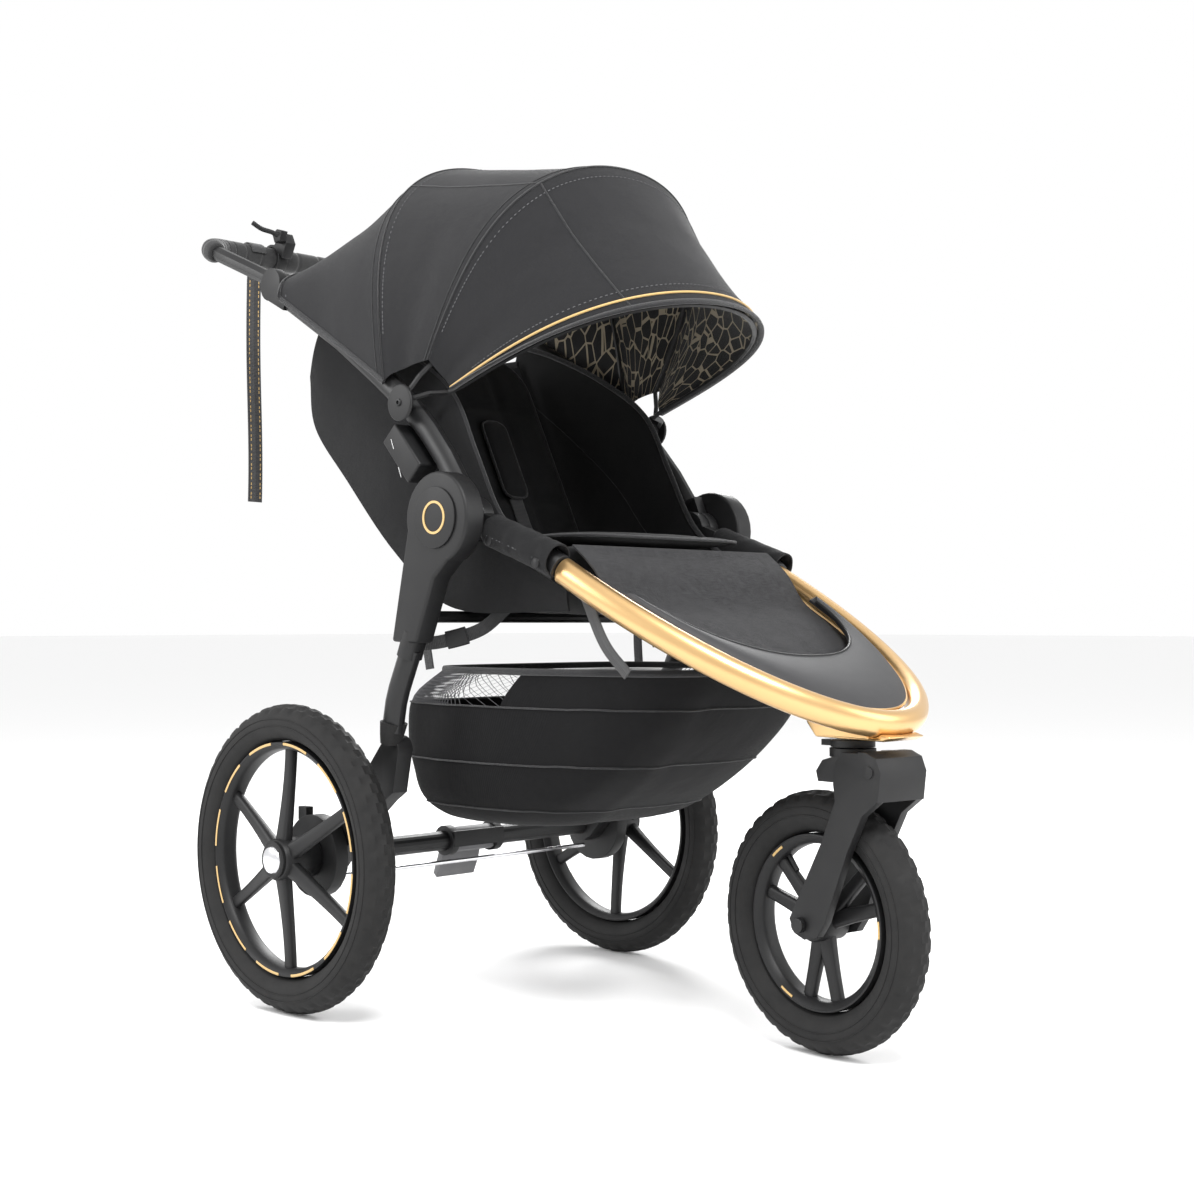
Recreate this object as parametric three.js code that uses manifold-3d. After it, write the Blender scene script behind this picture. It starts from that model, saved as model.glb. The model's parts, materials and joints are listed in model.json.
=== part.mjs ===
// A three-wheeled jogging stroller that folds in half at its side hinges.
//
// Millimetres, +Z up. The child faces -Y, so "right" pieces are on the -X side.
// Everything is placed in the chassis frame, whose zero is on the ground under the rear axle,
// and the whole group is then moved so that the origin is under the middle of the object.

import * as THREE from "three";
import { mergeVertices } from "three/addons/utils/BufferGeometryUtils.js";
import Module from "manifold-3d";

const wasm = await Module();
wasm.setup();

// ---------------------------------------------------------------- driving dimensions

const GAP = 0.4; // air between two pieces that touch in the real object
const ORIGIN_BEHIND_AXLE = 196.7; // how far the rear axle stands behind the origin

const REAR_WHEEL = { radius: 200, tyre: 24, track: 304, rimWidth: 32, rimDepth: 9, spokes: 6 };
const FRONT_WHEEL = { radius: 154.6, tyre: 25, rimWidth: 32, rimDepth: 11, spokes: 6 };

// Joints of the frame in side view, as [y, z].
const HINGE = [-245, 634]; // the fold hinge, shared by legs, front tubes and upper tubes
const CANOPY_PIVOT = [-141, 786];
const HANDLE_PIVOT = [165, 980];
const LEG_FOOT = [-135, 345]; // pivot of the rear swing arms
const REAR_AXLE = [0, REAR_WHEEL.radius];
const SWIVEL_Y = -673; // vertical axis of the front caster
const STEER = -0.1143; // the caster rests turned a little, in radians about +Z
const FRONT_AXLE = [-627, FRONT_WHEEL.radius];
const FORK_PIVOT = [-733, 338];
const GRIP_LINE = [365, 1065]; // centre of the handlebar's cross part

// Lateral layers, as distances from the middle plane.
const TUBE_X = 212.5; // centre of the main side tubes
const TUBE = { wide: 34, tall: 36 };
const LEG_LAYER = [238, 268];
const ARM_LAYER = [226, 250];
const DRUM_LAYER = [252, 272];
const SEAT_HALF_WIDTH = 184;
const HANDLE_HALF_WIDTH = 208;

// The front hoop lies in one plane that falls forward from the ends of the front tubes.
const HOOP = { halfWidth: 201, backY: -400, backZ: 567.2, noseY: -731, noseZ: 391, power: 2.08 };
const HOOP_SLOPE = (HOOP.backZ - HOOP.noseZ) / (HOOP.backY - HOOP.noseY);
const HOOP_TILT = Math.atan(HOOP_SLOPE);
const HOOP_TUBE = { wide: 27, tall: 33 };
const FOOT_OPENING = { halfWidth: 172, backY: -440, noseY: -612, power: 2.3 };

// Canopy bows: fans of one pivot, each a rounded arch in a plane through the pivot axis.
// angle is measured from straight up, positive towards the back.
const BOW_REAR = {
  foot: [-98, 812], // on the upper tube, behind the pivot of the other two
  angle: 8,
  halfWidth: 231,
  reach: 330,
  widthPower: 2.2,
  heightPower: 3.4,
  edge: 0.0003, // share of the arch, at each end, that the cloth leaves open
};
const BOW_MIDDLE = {
  foot: CANOPY_PIVOT,
  angle: -29.4,
  halfWidth: 219,
  reach: 356,
  widthPower: 2.09,
  heightPower: 3.76,
  edge: 0.012,
};
const BOW_FRONT = {
  foot: CANOPY_PIVOT,
  angle: -71.6,
  halfWidth: 197,
  reach: 360,
  widthPower: 2.0,
  heightPower: 3.5,
  edge: 0.012,
};
const CANOPY_THICKNESS = 3;
const BOW_INSET = 9; // how far the bow wires run inside the canopy cloth

// ---------------------------------------------------------------- materials

function material(color, roughness, metalness) {
  return new THREE.MeshStandardMaterial({ color, roughness, metalness });
}

const GOLD = material(0xc9a063, 0.32, 0.9);
const BLACK_METAL = material(0x17171a, 0.45, 0.6);
const BLACK_PLASTIC = material(0x141416, 0.55, 0.0);
const GREY_PLASTIC = material(0x5a5a5c, 0.6, 0.0);
const FOOT_RUBBER = material(0x3a3b3e, 0.75, 0.0);
const TYRE_RUBBER = material(0x1a1a1b, 0.85, 0.0);
const FOAM = material(0x1c1c1e, 0.9, 0.0);
const SILVER = material(0xc8c8c8, 0.25, 1.0);
const CANOPY_CLOTH = material(0x303033, 0.7, 0.0);
const SEAT_CLOTH = material(0x0e0e10, 0.8, 0.0);
const LINEN_CLOTH = material(0x2b2b2e, 0.9, 0.0);
const BASKET_CLOTH = material(0x0b0b0c, 0.85, 0.0);
const WEBBING = material(0x101012, 0.8, 0.0);

// ---------------------------------------------------------------- shape helpers

// A closed three.js geometry as a solid, turned outward if its faces point inward.
function solid(geometry) {
  const flat = geometry.index ? geometry.toNonIndexed() : geometry;
  const bare = new THREE.BufferGeometry();
  bare.setAttribute("position", flat.getAttribute("position").clone());
  const merged = mergeVertices(bare, 1e-3);
  const vertProperties = merged.getAttribute("position").array;
  const triVerts = new Uint32Array(merged.index.array);
  const made = new wasm.Manifold(new wasm.Mesh({ numProp: 3, vertProperties, triVerts }));
  if (made.volume() > 0) return made;
  const turned = triVerts.slice();
  for (let i = 0; i < turned.length; i += 3) {
    turned[i + 1] = triVerts[i + 2];
    turned[i + 2] = triVerts[i + 1];
  }
  return new wasm.Manifold(new wasm.Mesh({ numProp: 3, vertProperties, triVerts: turned }));
}

function join(...solids) {
  return solids.reduce((all, one) => all.add(one));
}

// The mesh of a solid, named and finished, added to the chassis group.
const chassis = new THREE.Group();
function addPart(name, made, finish, parent = chassis) {
  const mesh = made.getMesh();
  const count = mesh.numVert;
  const positions = new Float32Array(count * 3);
  for (let i = 0; i < count; i++) {
    positions.set(mesh.vertProperties.subarray(i * mesh.numProp, i * mesh.numProp + 3), i * 3);
  }
  const geometry = new THREE.BufferGeometry();
  geometry.setAttribute("position", new THREE.BufferAttribute(positions, 3));
  geometry.setIndex(new THREE.BufferAttribute(mesh.triVerts, 1));
  geometry.computeVertexNormals();
  const part = new THREE.Mesh(geometry, finish);
  part.name = name;
  parent.add(part);
  return part;
}

// One piece on each side: made for +X, mirrored for -X.
function addPair(name, made, finish) {
  addPart(name + "_left", made, finish);
  addPart(name + "_right", made.mirror([1, 0, 0]), finish);
}

function box(x0, x1, y0, y1, z0, z1) {
  const geometry = new THREE.BoxGeometry(x1 - x0, y1 - y0, z1 - z0);
  geometry.translate((x0 + x1) / 2, (y0 + y1) / 2, (z0 + z1) / 2);
  return solid(geometry);
}

// A side-view outline of [y, z] points, from x0 to x1.
function plate(outline, x0, x1) {
  const shape = new THREE.Shape(outline.map(([y, z]) => new THREE.Vector2(y, z)));
  const geometry = new THREE.ExtrudeGeometry(shape, { depth: x1 - x0, bevelEnabled: false });
  const axes = new THREE.Matrix4().makeBasis(
    new THREE.Vector3(0, 1, 0),
    new THREE.Vector3(0, 0, 1),
    new THREE.Vector3(1, 0, 0),
  );
  geometry.applyMatrix4(axes.setPosition(x0, 0, 0));
  return solid(geometry);
}

// A disc or short shaft along X, centred on [y, z].
function discX(radius, x0, x1, [y, z], segments = 20) {
  const geometry = new THREE.CylinderGeometry(radius, radius, x1 - x0, segments);
  geometry.rotateZ(Math.PI / 2);
  geometry.translate((x0 + x1) / 2, y, z);
  return solid(geometry);
}

// A turned piece about an axis along X: profile of [radius, x] points, centred on [y, z].
function turnedX(profile, [y, z], segments) {
  const geometry = new THREE.LatheGeometry(
    profile.map(([radius, x]) => new THREE.Vector2(radius, x)),
    segments,
  );
  geometry.rotateZ(-Math.PI / 2);
  geometry.translate(0, y, z);
  return solid(geometry);
}

function ovalSection(wide, tall, sides) {
  const points = [];
  for (let i = 0; i < sides; i++) {
    const turn = ((i + 0.5) / sides) * 2 * Math.PI;
    points.push(new THREE.Vector2((wide / 2) * Math.cos(turn), (tall / 2) * Math.sin(turn)));
  }
  return new THREE.Shape(points);
}

// A tube of oval section along a smooth line through the points.
function tubeAlong(points, wide, tall, steps, sides = 12) {
  const path = new THREE.CatmullRomCurve3(points, false, "centripetal");
  const settings = { steps, extrudePath: path, bevelEnabled: false, curveSegments: 1 };
  return solid(new THREE.ExtrudeGeometry(ovalSection(wide, tall, sides), settings));
}

function at(x, [y, z]) {
  return new THREE.Vector3(x, y, z);
}

// A point of a superellipse quarter pair: share runs 0..1 from the +X end to the -X end.
function archPoint(share, halfWidth, reach, widthPower, reachPower) {
  const turn = share * Math.PI;
  const across = Math.cos(turn);
  const along = Math.abs(Math.sin(turn));
  return [
    halfWidth * Math.sign(across) * Math.abs(across) ** (2 / widthPower),
    reach * along ** (2 / reachPower),
  ];
}

// A closed shell between two grids of points that have the same rows and columns.
function shell(outer, inner) {
  const rows = outer.length;
  const columns = outer[0].length;
  const positions = [];
  const triangle = (a, b, c) => positions.push(...a.toArray(), ...b.toArray(), ...c.toArray());
  const quad = (a, b, c, d) => {
    triangle(a, b, c);
    triangle(a, c, d);
  };
  for (let r = 0; r + 1 < rows; r++) {
    for (let c = 0; c + 1 < columns; c++) {
      quad(outer[r][c], outer[r][c + 1], outer[r + 1][c + 1], outer[r + 1][c]);
      quad(inner[r][c], inner[r + 1][c], inner[r + 1][c + 1], inner[r][c + 1]);
    }
    quad(outer[r][0], outer[r + 1][0], inner[r + 1][0], inner[r][0]);
    const last = columns - 1;
    quad(outer[r][last], inner[r][last], inner[r + 1][last], outer[r + 1][last]);
  }
  for (let c = 0; c + 1 < columns; c++) {
    quad(outer[0][c], inner[0][c], inner[0][c + 1], outer[0][c + 1]);
    const last = rows - 1;
    quad(outer[last][c], outer[last][c + 1], inner[last][c + 1], inner[last][c]);
  }
  const geometry = new THREE.BufferGeometry();
  geometry.setAttribute("position", new THREE.Float32BufferAttribute(positions, 3));
  return solid(geometry);
}

// A solid through a stack of closed rings with the same number of points, capped at both ends.
function loft(rings) {
  const positions = [];
  const triangle = (a, b, c) => positions.push(...a.toArray(), ...b.toArray(), ...c.toArray());
  const middle = (ring) =>
    ring.reduce((sum, p) => sum.add(p), new THREE.Vector3()).divideScalar(ring.length);
  const count = rings[0].length;
  const [first, last] = [rings[0], rings[rings.length - 1]];
  for (let i = 0; i < count; i++) {
    const next = (i + 1) % count;
    for (let r = 0; r + 1 < rings.length; r++) {
      triangle(rings[r][i], rings[r][next], rings[r + 1][next]);
      triangle(rings[r][i], rings[r + 1][next], rings[r + 1][i]);
    }
    triangle(middle(first), first[next], first[i]);
    triangle(middle(last), last[i], last[next]);
  }
  const geometry = new THREE.BufferGeometry();
  geometry.setAttribute("position", new THREE.Float32BufferAttribute(positions, 3));
  return solid(geometry);
}

// ---------------------------------------------------------------- wheels

// A tyre of round section whose outer face stands at the wheel's radius.
function tyreSolid(wheel, segments) {
  const middle = wheel.radius - wheel.tyre;
  const profile = [];
  const sides = 10;
  for (let i = 0; i <= sides; i++) {
    const turn = (i / sides) * 2 * Math.PI;
    profile.push([middle + wheel.tyre * Math.cos(turn), wheel.tyre * Math.sin(turn)]);
  }
  profile[sides] = profile[0];
  return turnedX(profile, [0, 0], segments);
}

// Rim ring, tapering spokes and hub in one moulding.
function rimSolid(wheel, hub, segments) {
  const outer = wheel.radius - 2 * wheel.tyre - GAP;
  const half = wheel.rimWidth / 2;
  const ring = turnedX(
    [
      [outer - 4, -half],
      [outer, -half + 3],
      [outer, half - 3],
      [outer - 4, half],
      [outer - wheel.rimDepth, half - 5],
      [outer - wheel.rimDepth, -half + 5],
      [outer - 4, -half],
    ],
    [0, 0],
    segments,
  );
  const body = discX(hub.radius, hub.inner, hub.outer, [0, 0], 20);
  let made = join(ring, body);
  for (let i = 0; i < wheel.spokes; i++) {
    const turn = (i / wheel.spokes) * 2 * Math.PI + hub.spokeTurn;
    const root = hub.radius - 6;
    const tip = outer - wheel.rimDepth + 3;
    const outline = [
      [root, -hub.spokeRoot / 2],
      [tip, -hub.spokeTip / 2],
      [tip, hub.spokeTip / 2],
      [root, hub.spokeRoot / 2],
    ].map(([along, side]) => [
      along * Math.cos(turn) - side * Math.sin(turn),
      along * Math.sin(turn) + side * Math.cos(turn),
    ]);
    made = made.add(plate(outline, -hub.spokeDepth / 2, hub.spokeDepth / 2));
  }
  return made;
}

// The valve stands inward from the rim, slanted a little to one side.
function valveSolid(wheel, turn) {
  const length = 28;
  const foot = wheel.radius - 2 * wheel.tyre - wheel.rimDepth + 3;
  const geometry = new THREE.CylinderGeometry(3, 3, length, 8);
  geometry.translate(0, foot - length / 2, 0);
  geometry.rotateX(turn);
  return solid(geometry);
}

const REAR_SEGMENTS = 36;
const REAR_HUB = {
  radius: 27,
  inner: DRUM_LAYER[1] + 0.6 - REAR_WHEEL.track,
  outer: 26,
  spokeRoot: 22,
  spokeTip: 15,
  spokeDepth: 15,
  spokeTurn: Math.PI / 6,
};
const rearTyre = tyreSolid(REAR_WHEEL, REAR_SEGMENTS);
const rearRim = rimSolid(REAR_WHEEL, REAR_HUB, REAR_SEGMENTS).add(valveSolid(REAR_WHEEL, -1.05));
// A domed cap over the hub's nut.
const hubCap = turnedX(
  [
    [0, REAR_HUB.outer + GAP],
    [21, REAR_HUB.outer + GAP],
    [20, REAR_HUB.outer + 5],
    [15, REAR_HUB.outer + 8.5],
    [0, REAR_HUB.outer + 10],
  ],
  [0, 0],
  20,
);
const rearPlace = [REAR_WHEEL.track, ...REAR_AXLE];
addPair("tyre_rear", rearTyre.translate(rearPlace), TYRE_RUBBER);
addPair("rim_rear", rearRim.translate(rearPlace), BLACK_PLASTIC);
addPair("hub_cap_rear", hubCap.translate(rearPlace), SILVER);

// ---------------------------------------------------------------- rear axle unit

const drum = discX(54, DRUM_LAYER[0], DRUM_LAYER[1], REAR_AXLE, 24);
const cableStop = box(DRUM_LAYER[0] + 2, DRUM_LAYER[0] + 14, 20, 38, 244, 262);
addPair("brake_drum", drum.add(cableStop), BLACK_PLASTIC);

// The swing arm runs from the leg's foot down and back to the axle.
const swingArm = join(
  discX(17, ARM_LAYER[0], ARM_LAYER[1], LEG_FOOT),
  plate(
    [[-151, 340], [-141, 290], [-122, 278], [-64, 232], [-20, 184], [4, 182], [20, 208], [-40, 262], [-118, 352]],
    ...ARM_LAYER,
  ),
  discX(24, ARM_LAYER[0], ARM_LAYER[1], REAR_AXLE),
);
addPair("swing_arm", swingArm, BLACK_PLASTIC);

const AXLE_TUBE_RADIUS = 13.5;
const axleEnd = ARM_LAYER[0] - GAP;
addPart("axle_tube", discX(AXLE_TUBE_RADIUS, -axleEnd, axleEnd, REAR_AXLE), BLACK_METAL);

// Collars and bracket that carry the brake pedal at the middle of the axle.
function collar(x0, x1, radius) {
  const ring = discX(radius, x0, x1, REAR_AXLE);
  return ring.subtract(discX(AXLE_TUBE_RADIUS + GAP, x0 - 1, x1 + 1, REAR_AXLE));
}
const PEDAL_X = [-44, 52];
const pedalBracket = join(
  collar(PEDAL_X[0], PEDAL_X[0] + 12, 21),
  collar(PEDAL_X[1] - 12, PEDAL_X[1], 21),
  box(PEDAL_X[0] + 2, PEDAL_X[1] - 2, -21, -15, 192, 214),
);
addPart("pedal_bracket", pedalBracket, BLACK_PLASTIC);
const pedalInner = [PEDAL_X[0] + 13, PEDAL_X[1] - 13];
const pedal = join(
  collar(...pedalInner, 18).subtract(box(-60, 60, -25, -12, 180, 225)),
  plate([[15, 207], [20, 208], [28, 176], [38, 150], [31, 144], [21, 166], [15, 190]], ...pedalInner),
);
addPart("brake_pedal", pedal, GREY_PLASTIC);
const LINK_ROD = [-8, 171];
addPart("brake_link_rod", discX(3, -axleEnd, axleEnd, LINK_ROD, 10), SILVER);

// ---------------------------------------------------------------- legs

// A curved tapering shell under a round head, and a tube that runs on to the foot.
const legShell = join(
  discX(57, ...LEG_LAYER, HINGE, 32),
  plate([[-294, 606], [-240, 560], [-206, 480], [-160, 482], [-172, 540], [-190, 620]], ...LEG_LAYER),
);
addPair("leg_shell", legShell, BLACK_PLASTIC);
const badge = discX(38, LEG_LAYER[1] + GAP, LEG_LAYER[1] + 3, HINGE, 28);
addPair("hinge_badge", badge, GOLD);
const LEG_X = (LEG_LAYER[0] + LEG_LAYER[1]) / 2 - 1;
const legTube = tubeAlong(
  [at(LEG_X, [-181, 474]), at(LEG_X, [-152, 410]), at(LEG_X, [-143, 368])],
  26,
  30,
  6,
);
addPair("leg_tube", legTube, BLACK_METAL);

const CROSS_TUBE = [-186, 513];
const CROSS_RADIUS = 7.5;
const crossReach = LEG_LAYER[0] - 0.6;
addPart("cross_tube", discX(CROSS_RADIUS, -crossReach, crossReach, CROSS_TUBE, 12), BLACK_METAL);

// ---------------------------------------------------------------- side tubes and fold hinge

// A tube starts clear of the hinge, so that its neighbour can swing past.
const TUBE_START = 42;
const frontDirection = new THREE.Vector2(-137, -48).normalize();
const upperDirection = new THREE.Vector2(62, 152).normalize();
function fromHinge(direction, distance) {
  return [HINGE[0] + direction.x * distance, HINGE[1] + direction.y * distance];
}
// A lug reaches from a disc on the hinge axis to the start of its tube.
function hingeLug(direction, x0, x1) {
  const side = new THREE.Vector2(-direction.y, direction.x).multiplyScalar(15);
  const end = fromHinge(direction, TUBE_START + 6);
  const outline = [
    [HINGE[0] + side.x, HINGE[1] + side.y],
    [end[0] + side.x, end[1] + side.y],
    [end[0] - side.x, end[1] - side.y],
    [HINGE[0] - side.x, HINGE[1] - side.y],
  ];
  return join(discX(28, x0, x1, HINGE), plate(outline, x0, x1));
}
const tubeInner = TUBE_X - TUBE.wide / 2;
const tubeOuter = TUBE_X + TUBE.wide / 2;
const frontTube = join(
  hingeLug(frontDirection, tubeInner, TUBE_X - GAP),
  tubeAlong(
    [
      at(TUBE_X, fromHinge(frontDirection, TUBE_START)),
      at(TUBE_X, [-340, 600]),
      at(HOOP.halfWidth + 3, [HOOP.backY + 2, HOOP.backZ + 2]),
    ],
    TUBE.wide,
    TUBE.tall,
    6,
  ),
);
addPair("front_tube", frontTube, BLACK_METAL);
const upperLine = [
  at(TUBE_X, fromHinge(upperDirection, TUBE_START)),
  at(TUBE_X, [-196, 718]),
  at(TUBE_X, [CANOPY_PIVOT[0] + 4, CANOPY_PIVOT[1] - 8]),
  at(TUBE_X, [0, 878]),
  at(TUBE_X, [HANDLE_PIVOT[0] - 24, HANDLE_PIVOT[1] - 18]),
];
const upperTube = join(
  hingeLug(upperDirection, TUBE_X + GAP, tubeOuter),
  tubeAlong(upperLine, 26, 32, 10),
);
addPair("upper_tube", upperTube, BLACK_METAL);
const upperTubeRoom = tubeAlong(upperLine, 26 + 2 * GAP, 32 + 2 * GAP, 10);

// ---------------------------------------------------------------- hoop and footplate

function hoopPoint(share, inset = 0) {
  const [x, reach] = archPoint(
    share,
    HOOP.halfWidth - inset,
    HOOP.backY - HOOP.noseY - inset,
    HOOP.power,
    HOOP.power,
  );
  const y = HOOP.backY - reach;
  return new THREE.Vector3(x, y, HOOP.backZ + (y - HOOP.backY) * HOOP_SLOPE);
}

const hoopSteps = 28;
const hoopLine = [];
for (let i = 0; i <= hoopSteps; i++) {
  hoopLine.push(hoopPoint(i / hoopSteps));
}
const hoop = tubeAlong(hoopLine, HOOP_TUBE.wide, HOOP_TUBE.tall, hoopSteps + 6, 10);
addPart("hoop", hoop, GOLD);

// The footplate is a domed crescent between the hoop and the foot opening.
const hoopNormal = new THREE.Vector3(0, -Math.sin(HOOP_TILT), Math.cos(HOOP_TILT));
function openingPoint(share) {
  const { halfWidth, backY, noseY, power } = FOOT_OPENING;
  const [x, reach] = archPoint(share, halfWidth, backY - noseY, power, power);
  const y = backY - reach;
  return new THREE.Vector3(x, y, HOOP.backZ + (y - HOOP.backY) * HOOP_SLOPE);
}
const PLATE_COLUMNS = 20;
const PLATE_SPAN = [0.07, 0.93]; // share of the hoop that the crescent follows
const plateTop = [];
const plateUnder = [];
for (let row = 0; row <= 3; row++) {
  const inward = row / 3;
  const dome = [9, 15, 17, 14][row];
  const topRow = [];
  const underRow = [];
  for (let i = 0; i <= PLATE_COLUMNS; i++) {
    const share = PLATE_SPAN[0] + (PLATE_SPAN[1] - PLATE_SPAN[0]) * (i / PLATE_COLUMNS);
    const spot = hoopPoint(share, HOOP_TUBE.wide / 2 + 1.5).lerp(openingPoint(share), inward);
    topRow.push(spot.clone().addScaledVector(hoopNormal, dome));
    underRow.push(spot.clone().addScaledVector(hoopNormal, dome - 9));
  }
  plateTop.push(topRow);
  plateUnder.push(underRow);
}
const footplate = shell(plateTop, plateUnder);
addPart("footplate", footplate, FOOT_RUBBER);

// ---------------------------------------------------------------- nose, caster and fork

const noseOutline = [
  [-640, 406], [-630, 392], [-644, 374], [-738, 372], [-750, 377],
  [-726, 384], [-690, 402], [-662, 414],
];
const hoopRoom = tubeAlong(hoopLine, HOOP_TUBE.wide + 2, HOOP_TUBE.tall + 2, hoopSteps + 6, 10);
const plateRoom = footplate.translate([0, 0, -1.2]);
const noseBracket = plate(noseOutline, -34, 34).subtract(join(hoopRoom, plateRoom));
addPart("nose_bracket", noseBracket, GOLD);
// A flat turning collar with a finger tab locks the caster straight ahead.
const collarDisc = new THREE.CylinderGeometry(26, 26, 8, 24);
collarDisc.rotateX(Math.PI / 2);
collarDisc.translate(0, SWIVEL_Y, 366.5);
const lockTab = box(-10, 8, SWIVEL_Y + 22, SWIVEL_Y + 38, 363, 370);
const lockLever = join(solid(collarDisc), lockTab);
addPart("swivel_lock", lockLever, BLACK_PLASTIC);

const caster = new THREE.Group();
caster.position.set(0, SWIVEL_Y, 0);
caster.rotation.z = STEER;
chassis.add(caster);
function addCasterPart(name, made, finish) {
  return addPart(name, made.translate([0, -SWIVEL_Y, 0]), finish, caster);
}

const swivelDisc = new THREE.CylinderGeometry(27, 27, 10, 28);
swivelDisc.rotateX(Math.PI / 2);
swivelDisc.translate(0, SWIVEL_Y, 356);

const HEAD_HALF = 27;
const FORK_ARM = [HEAD_HALF + GAP, HEAD_HALF + 12];
const head = join(
  solid(swivelDisc),
  plate(
    [
      [-643, 322], [-640, 334], [-650, 347], [-668, 352], [-720, 352], [-732, 347],
      [-736.5, 336], [-736.5, 304], [-718, 302], [-702, 322],
    ],
    -HEAD_HALF,
    HEAD_HALF,
  ),
);
addCasterPart("caster_head", head, BLACK_PLASTIC);

const armOutline = [
  [-748, 338], [-742, 353], [-728, 359], [-692, 358], [-681, 346], [-678, 322], [-681, 302],
  [-660, 254], [-618, 178], [-608, 160], [-616, 144], [-632, 138], [-652, 143], [-664, 160],
  [-700, 246], [-722, 288], [-746, 306],
];
const forkArm = plate(armOutline, ...FORK_ARM);
// A hood in front of the caster head joins the two arms.
const hoodOutline = [
  [-746, 305], [-750, 338], [-743, 354], [-728, 360], [-716, 360],
  [-718, 355.5], [-729, 354.5], [-737, 348], [-740, 336], [-738, 305],
];
const bolt = discX(7, FORK_ARM[0], FORK_ARM[1] + 2, FORK_PIVOT, 16);
const sideArm = join(forkArm, bolt);
const hood = plate(hoodOutline, -FORK_ARM[1], FORK_ARM[1]);
const fork = join(sideArm, sideArm.mirror([1, 0, 0]), hood);
addCasterPart("fork", fork, BLACK_PLASTIC);
const nut = discX(9, FORK_ARM[1] + GAP, FORK_ARM[1] + 8, FRONT_AXLE, 16);
addCasterPart("fork_nut_left", nut, BLACK_METAL);
addCasterPart("fork_nut_right", nut.mirror([1, 0, 0]), BLACK_METAL);

const FRONT_SEGMENTS = 32;
const FRONT_HUB = {
  radius: 18,
  inner: -HEAD_HALF + 0.6,
  outer: HEAD_HALF - 0.6,
  spokeRoot: 14,
  spokeTip: 13,
  spokeDepth: 14,
  spokeTurn: 0.35,
};
const frontPlace = [0, ...FRONT_AXLE];
const frontRim = rimSolid(FRONT_WHEEL, FRONT_HUB, FRONT_SEGMENTS);
addCasterPart("tyre_front", tyreSolid(FRONT_WHEEL, FRONT_SEGMENTS).translate(frontPlace), TYRE_RUBBER);
addCasterPart(
  "rim_front",
  frontRim.add(valveSolid(FRONT_WHEEL, 2.3)).translate(frontPlace),
  BLACK_PLASTIC,
);

// ---------------------------------------------------------------- handlebar

const barHalf = HANDLE_HALF_WIDTH;
const HANDLE_TUBE = 22;
const LUG = [191, 209];
const CAP = [LUG[1] + GAP, 224];
const capNeck = plate([[134, 940], [124, 962], [156, 990], [178, 962]], ...CAP);
const handlePivot = join(discX(23, ...CAP, HANDLE_PIVOT), capNeck);
addPair("handle_pivot", handlePivot.subtract(upperTubeRoom), BLACK_PLASTIC);

const handleLine = [];
for (const side of [1, -1]) {
  const half = [
    at(side * 197.5, HANDLE_PIVOT),
    at(side * 200, [230, 1009]),
    at(side * barHalf, [320, 1049]),
    at(side * (barHalf - 16), [350, 1061]),
    at(side * (barHalf - 56), GRIP_LINE),
    at(side * 60, GRIP_LINE),
  ];
  handleLine.push(...(side > 0 ? half : half.reverse()));
}
const lug = discX(20, ...LUG, HANDLE_PIVOT);
const bar = join(
  tubeAlong(handleLine, HANDLE_TUBE, HANDLE_TUBE, 26, 8),
  lug,
  lug.mirror([1, 0, 0]),
);
// The foam grip is a sleeve over the bent part of the bar.
const GRIP_RADIUS = 16.5;
const gripLine = handleLine.slice(2, -2);
const gripBody = tubeAlong(gripLine, 2 * GRIP_RADIUS, 2 * GRIP_RADIUS, 16, 10);
const gripBore = tubeAlong(handleLine, HANDLE_TUBE + 1, HANDLE_TUBE + 1, 26, 8);
addPart("handlebar", bar, BLACK_METAL);
addPart("handle_grip", gripBody.subtract(gripBore), FOAM);

// A clamp ring with a short post carries the brake lever in front of the bar.
const LEVER_X = [-84, -66];
const barAt = [GRIP_LINE[0], GRIP_LINE[1]];
const clampRing = discX(GRIP_RADIUS + 6, ...LEVER_X, barAt);
const clampPost = plate([[334, 1062], [322, 1084], [330, 1100], [342, 1098], [356, 1084]], ...LEVER_X);
const clampRoom = discX(GRIP_RADIUS + 1, LEVER_X[0] - 1, LEVER_X[1] + 1, barAt);
addPart("lever_clamp", join(clampRing, clampPost).subtract(clampRoom), BLACK_PLASTIC);
const leverArm = plate([[322, 1086], [318, 1100], [330, 1104], [342, 1098], [336, 1084]], -96, LEVER_X[0] - GAP);
const leverBlade = tubeAlong(
  [at(-90, [328, 1092]), at(-102, [332, 1098]), at(-118, [338, 1102]), at(-132, [342, 1110])],
  9,
  7,
  10,
  8,
);
addPart("brake_lever", join(leverArm, leverBlade), BLACK_PLASTIC);

// The wrist strap is one loop of webbing round the bar, sewn flat below it.
const STRAP = { x: [-128, -103], thick: 2, length: 384 };
const strapRing = discX(GRIP_RADIUS + 5, ...STRAP.x, barAt, 20);
const strapBand = box(...STRAP.x, 363, 367, GRIP_LINE[1] - STRAP.length, GRIP_LINE[1] - 12);
const strapHole = discX(GRIP_RADIUS + 2.5, STRAP.x[0] - 1, STRAP.x[1] + 1, barAt, 20);
addPart("wrist_strap", join(strapRing, strapBand).subtract(strapHole), WEBBING);

// ---------------------------------------------------------------- canopy

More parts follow.
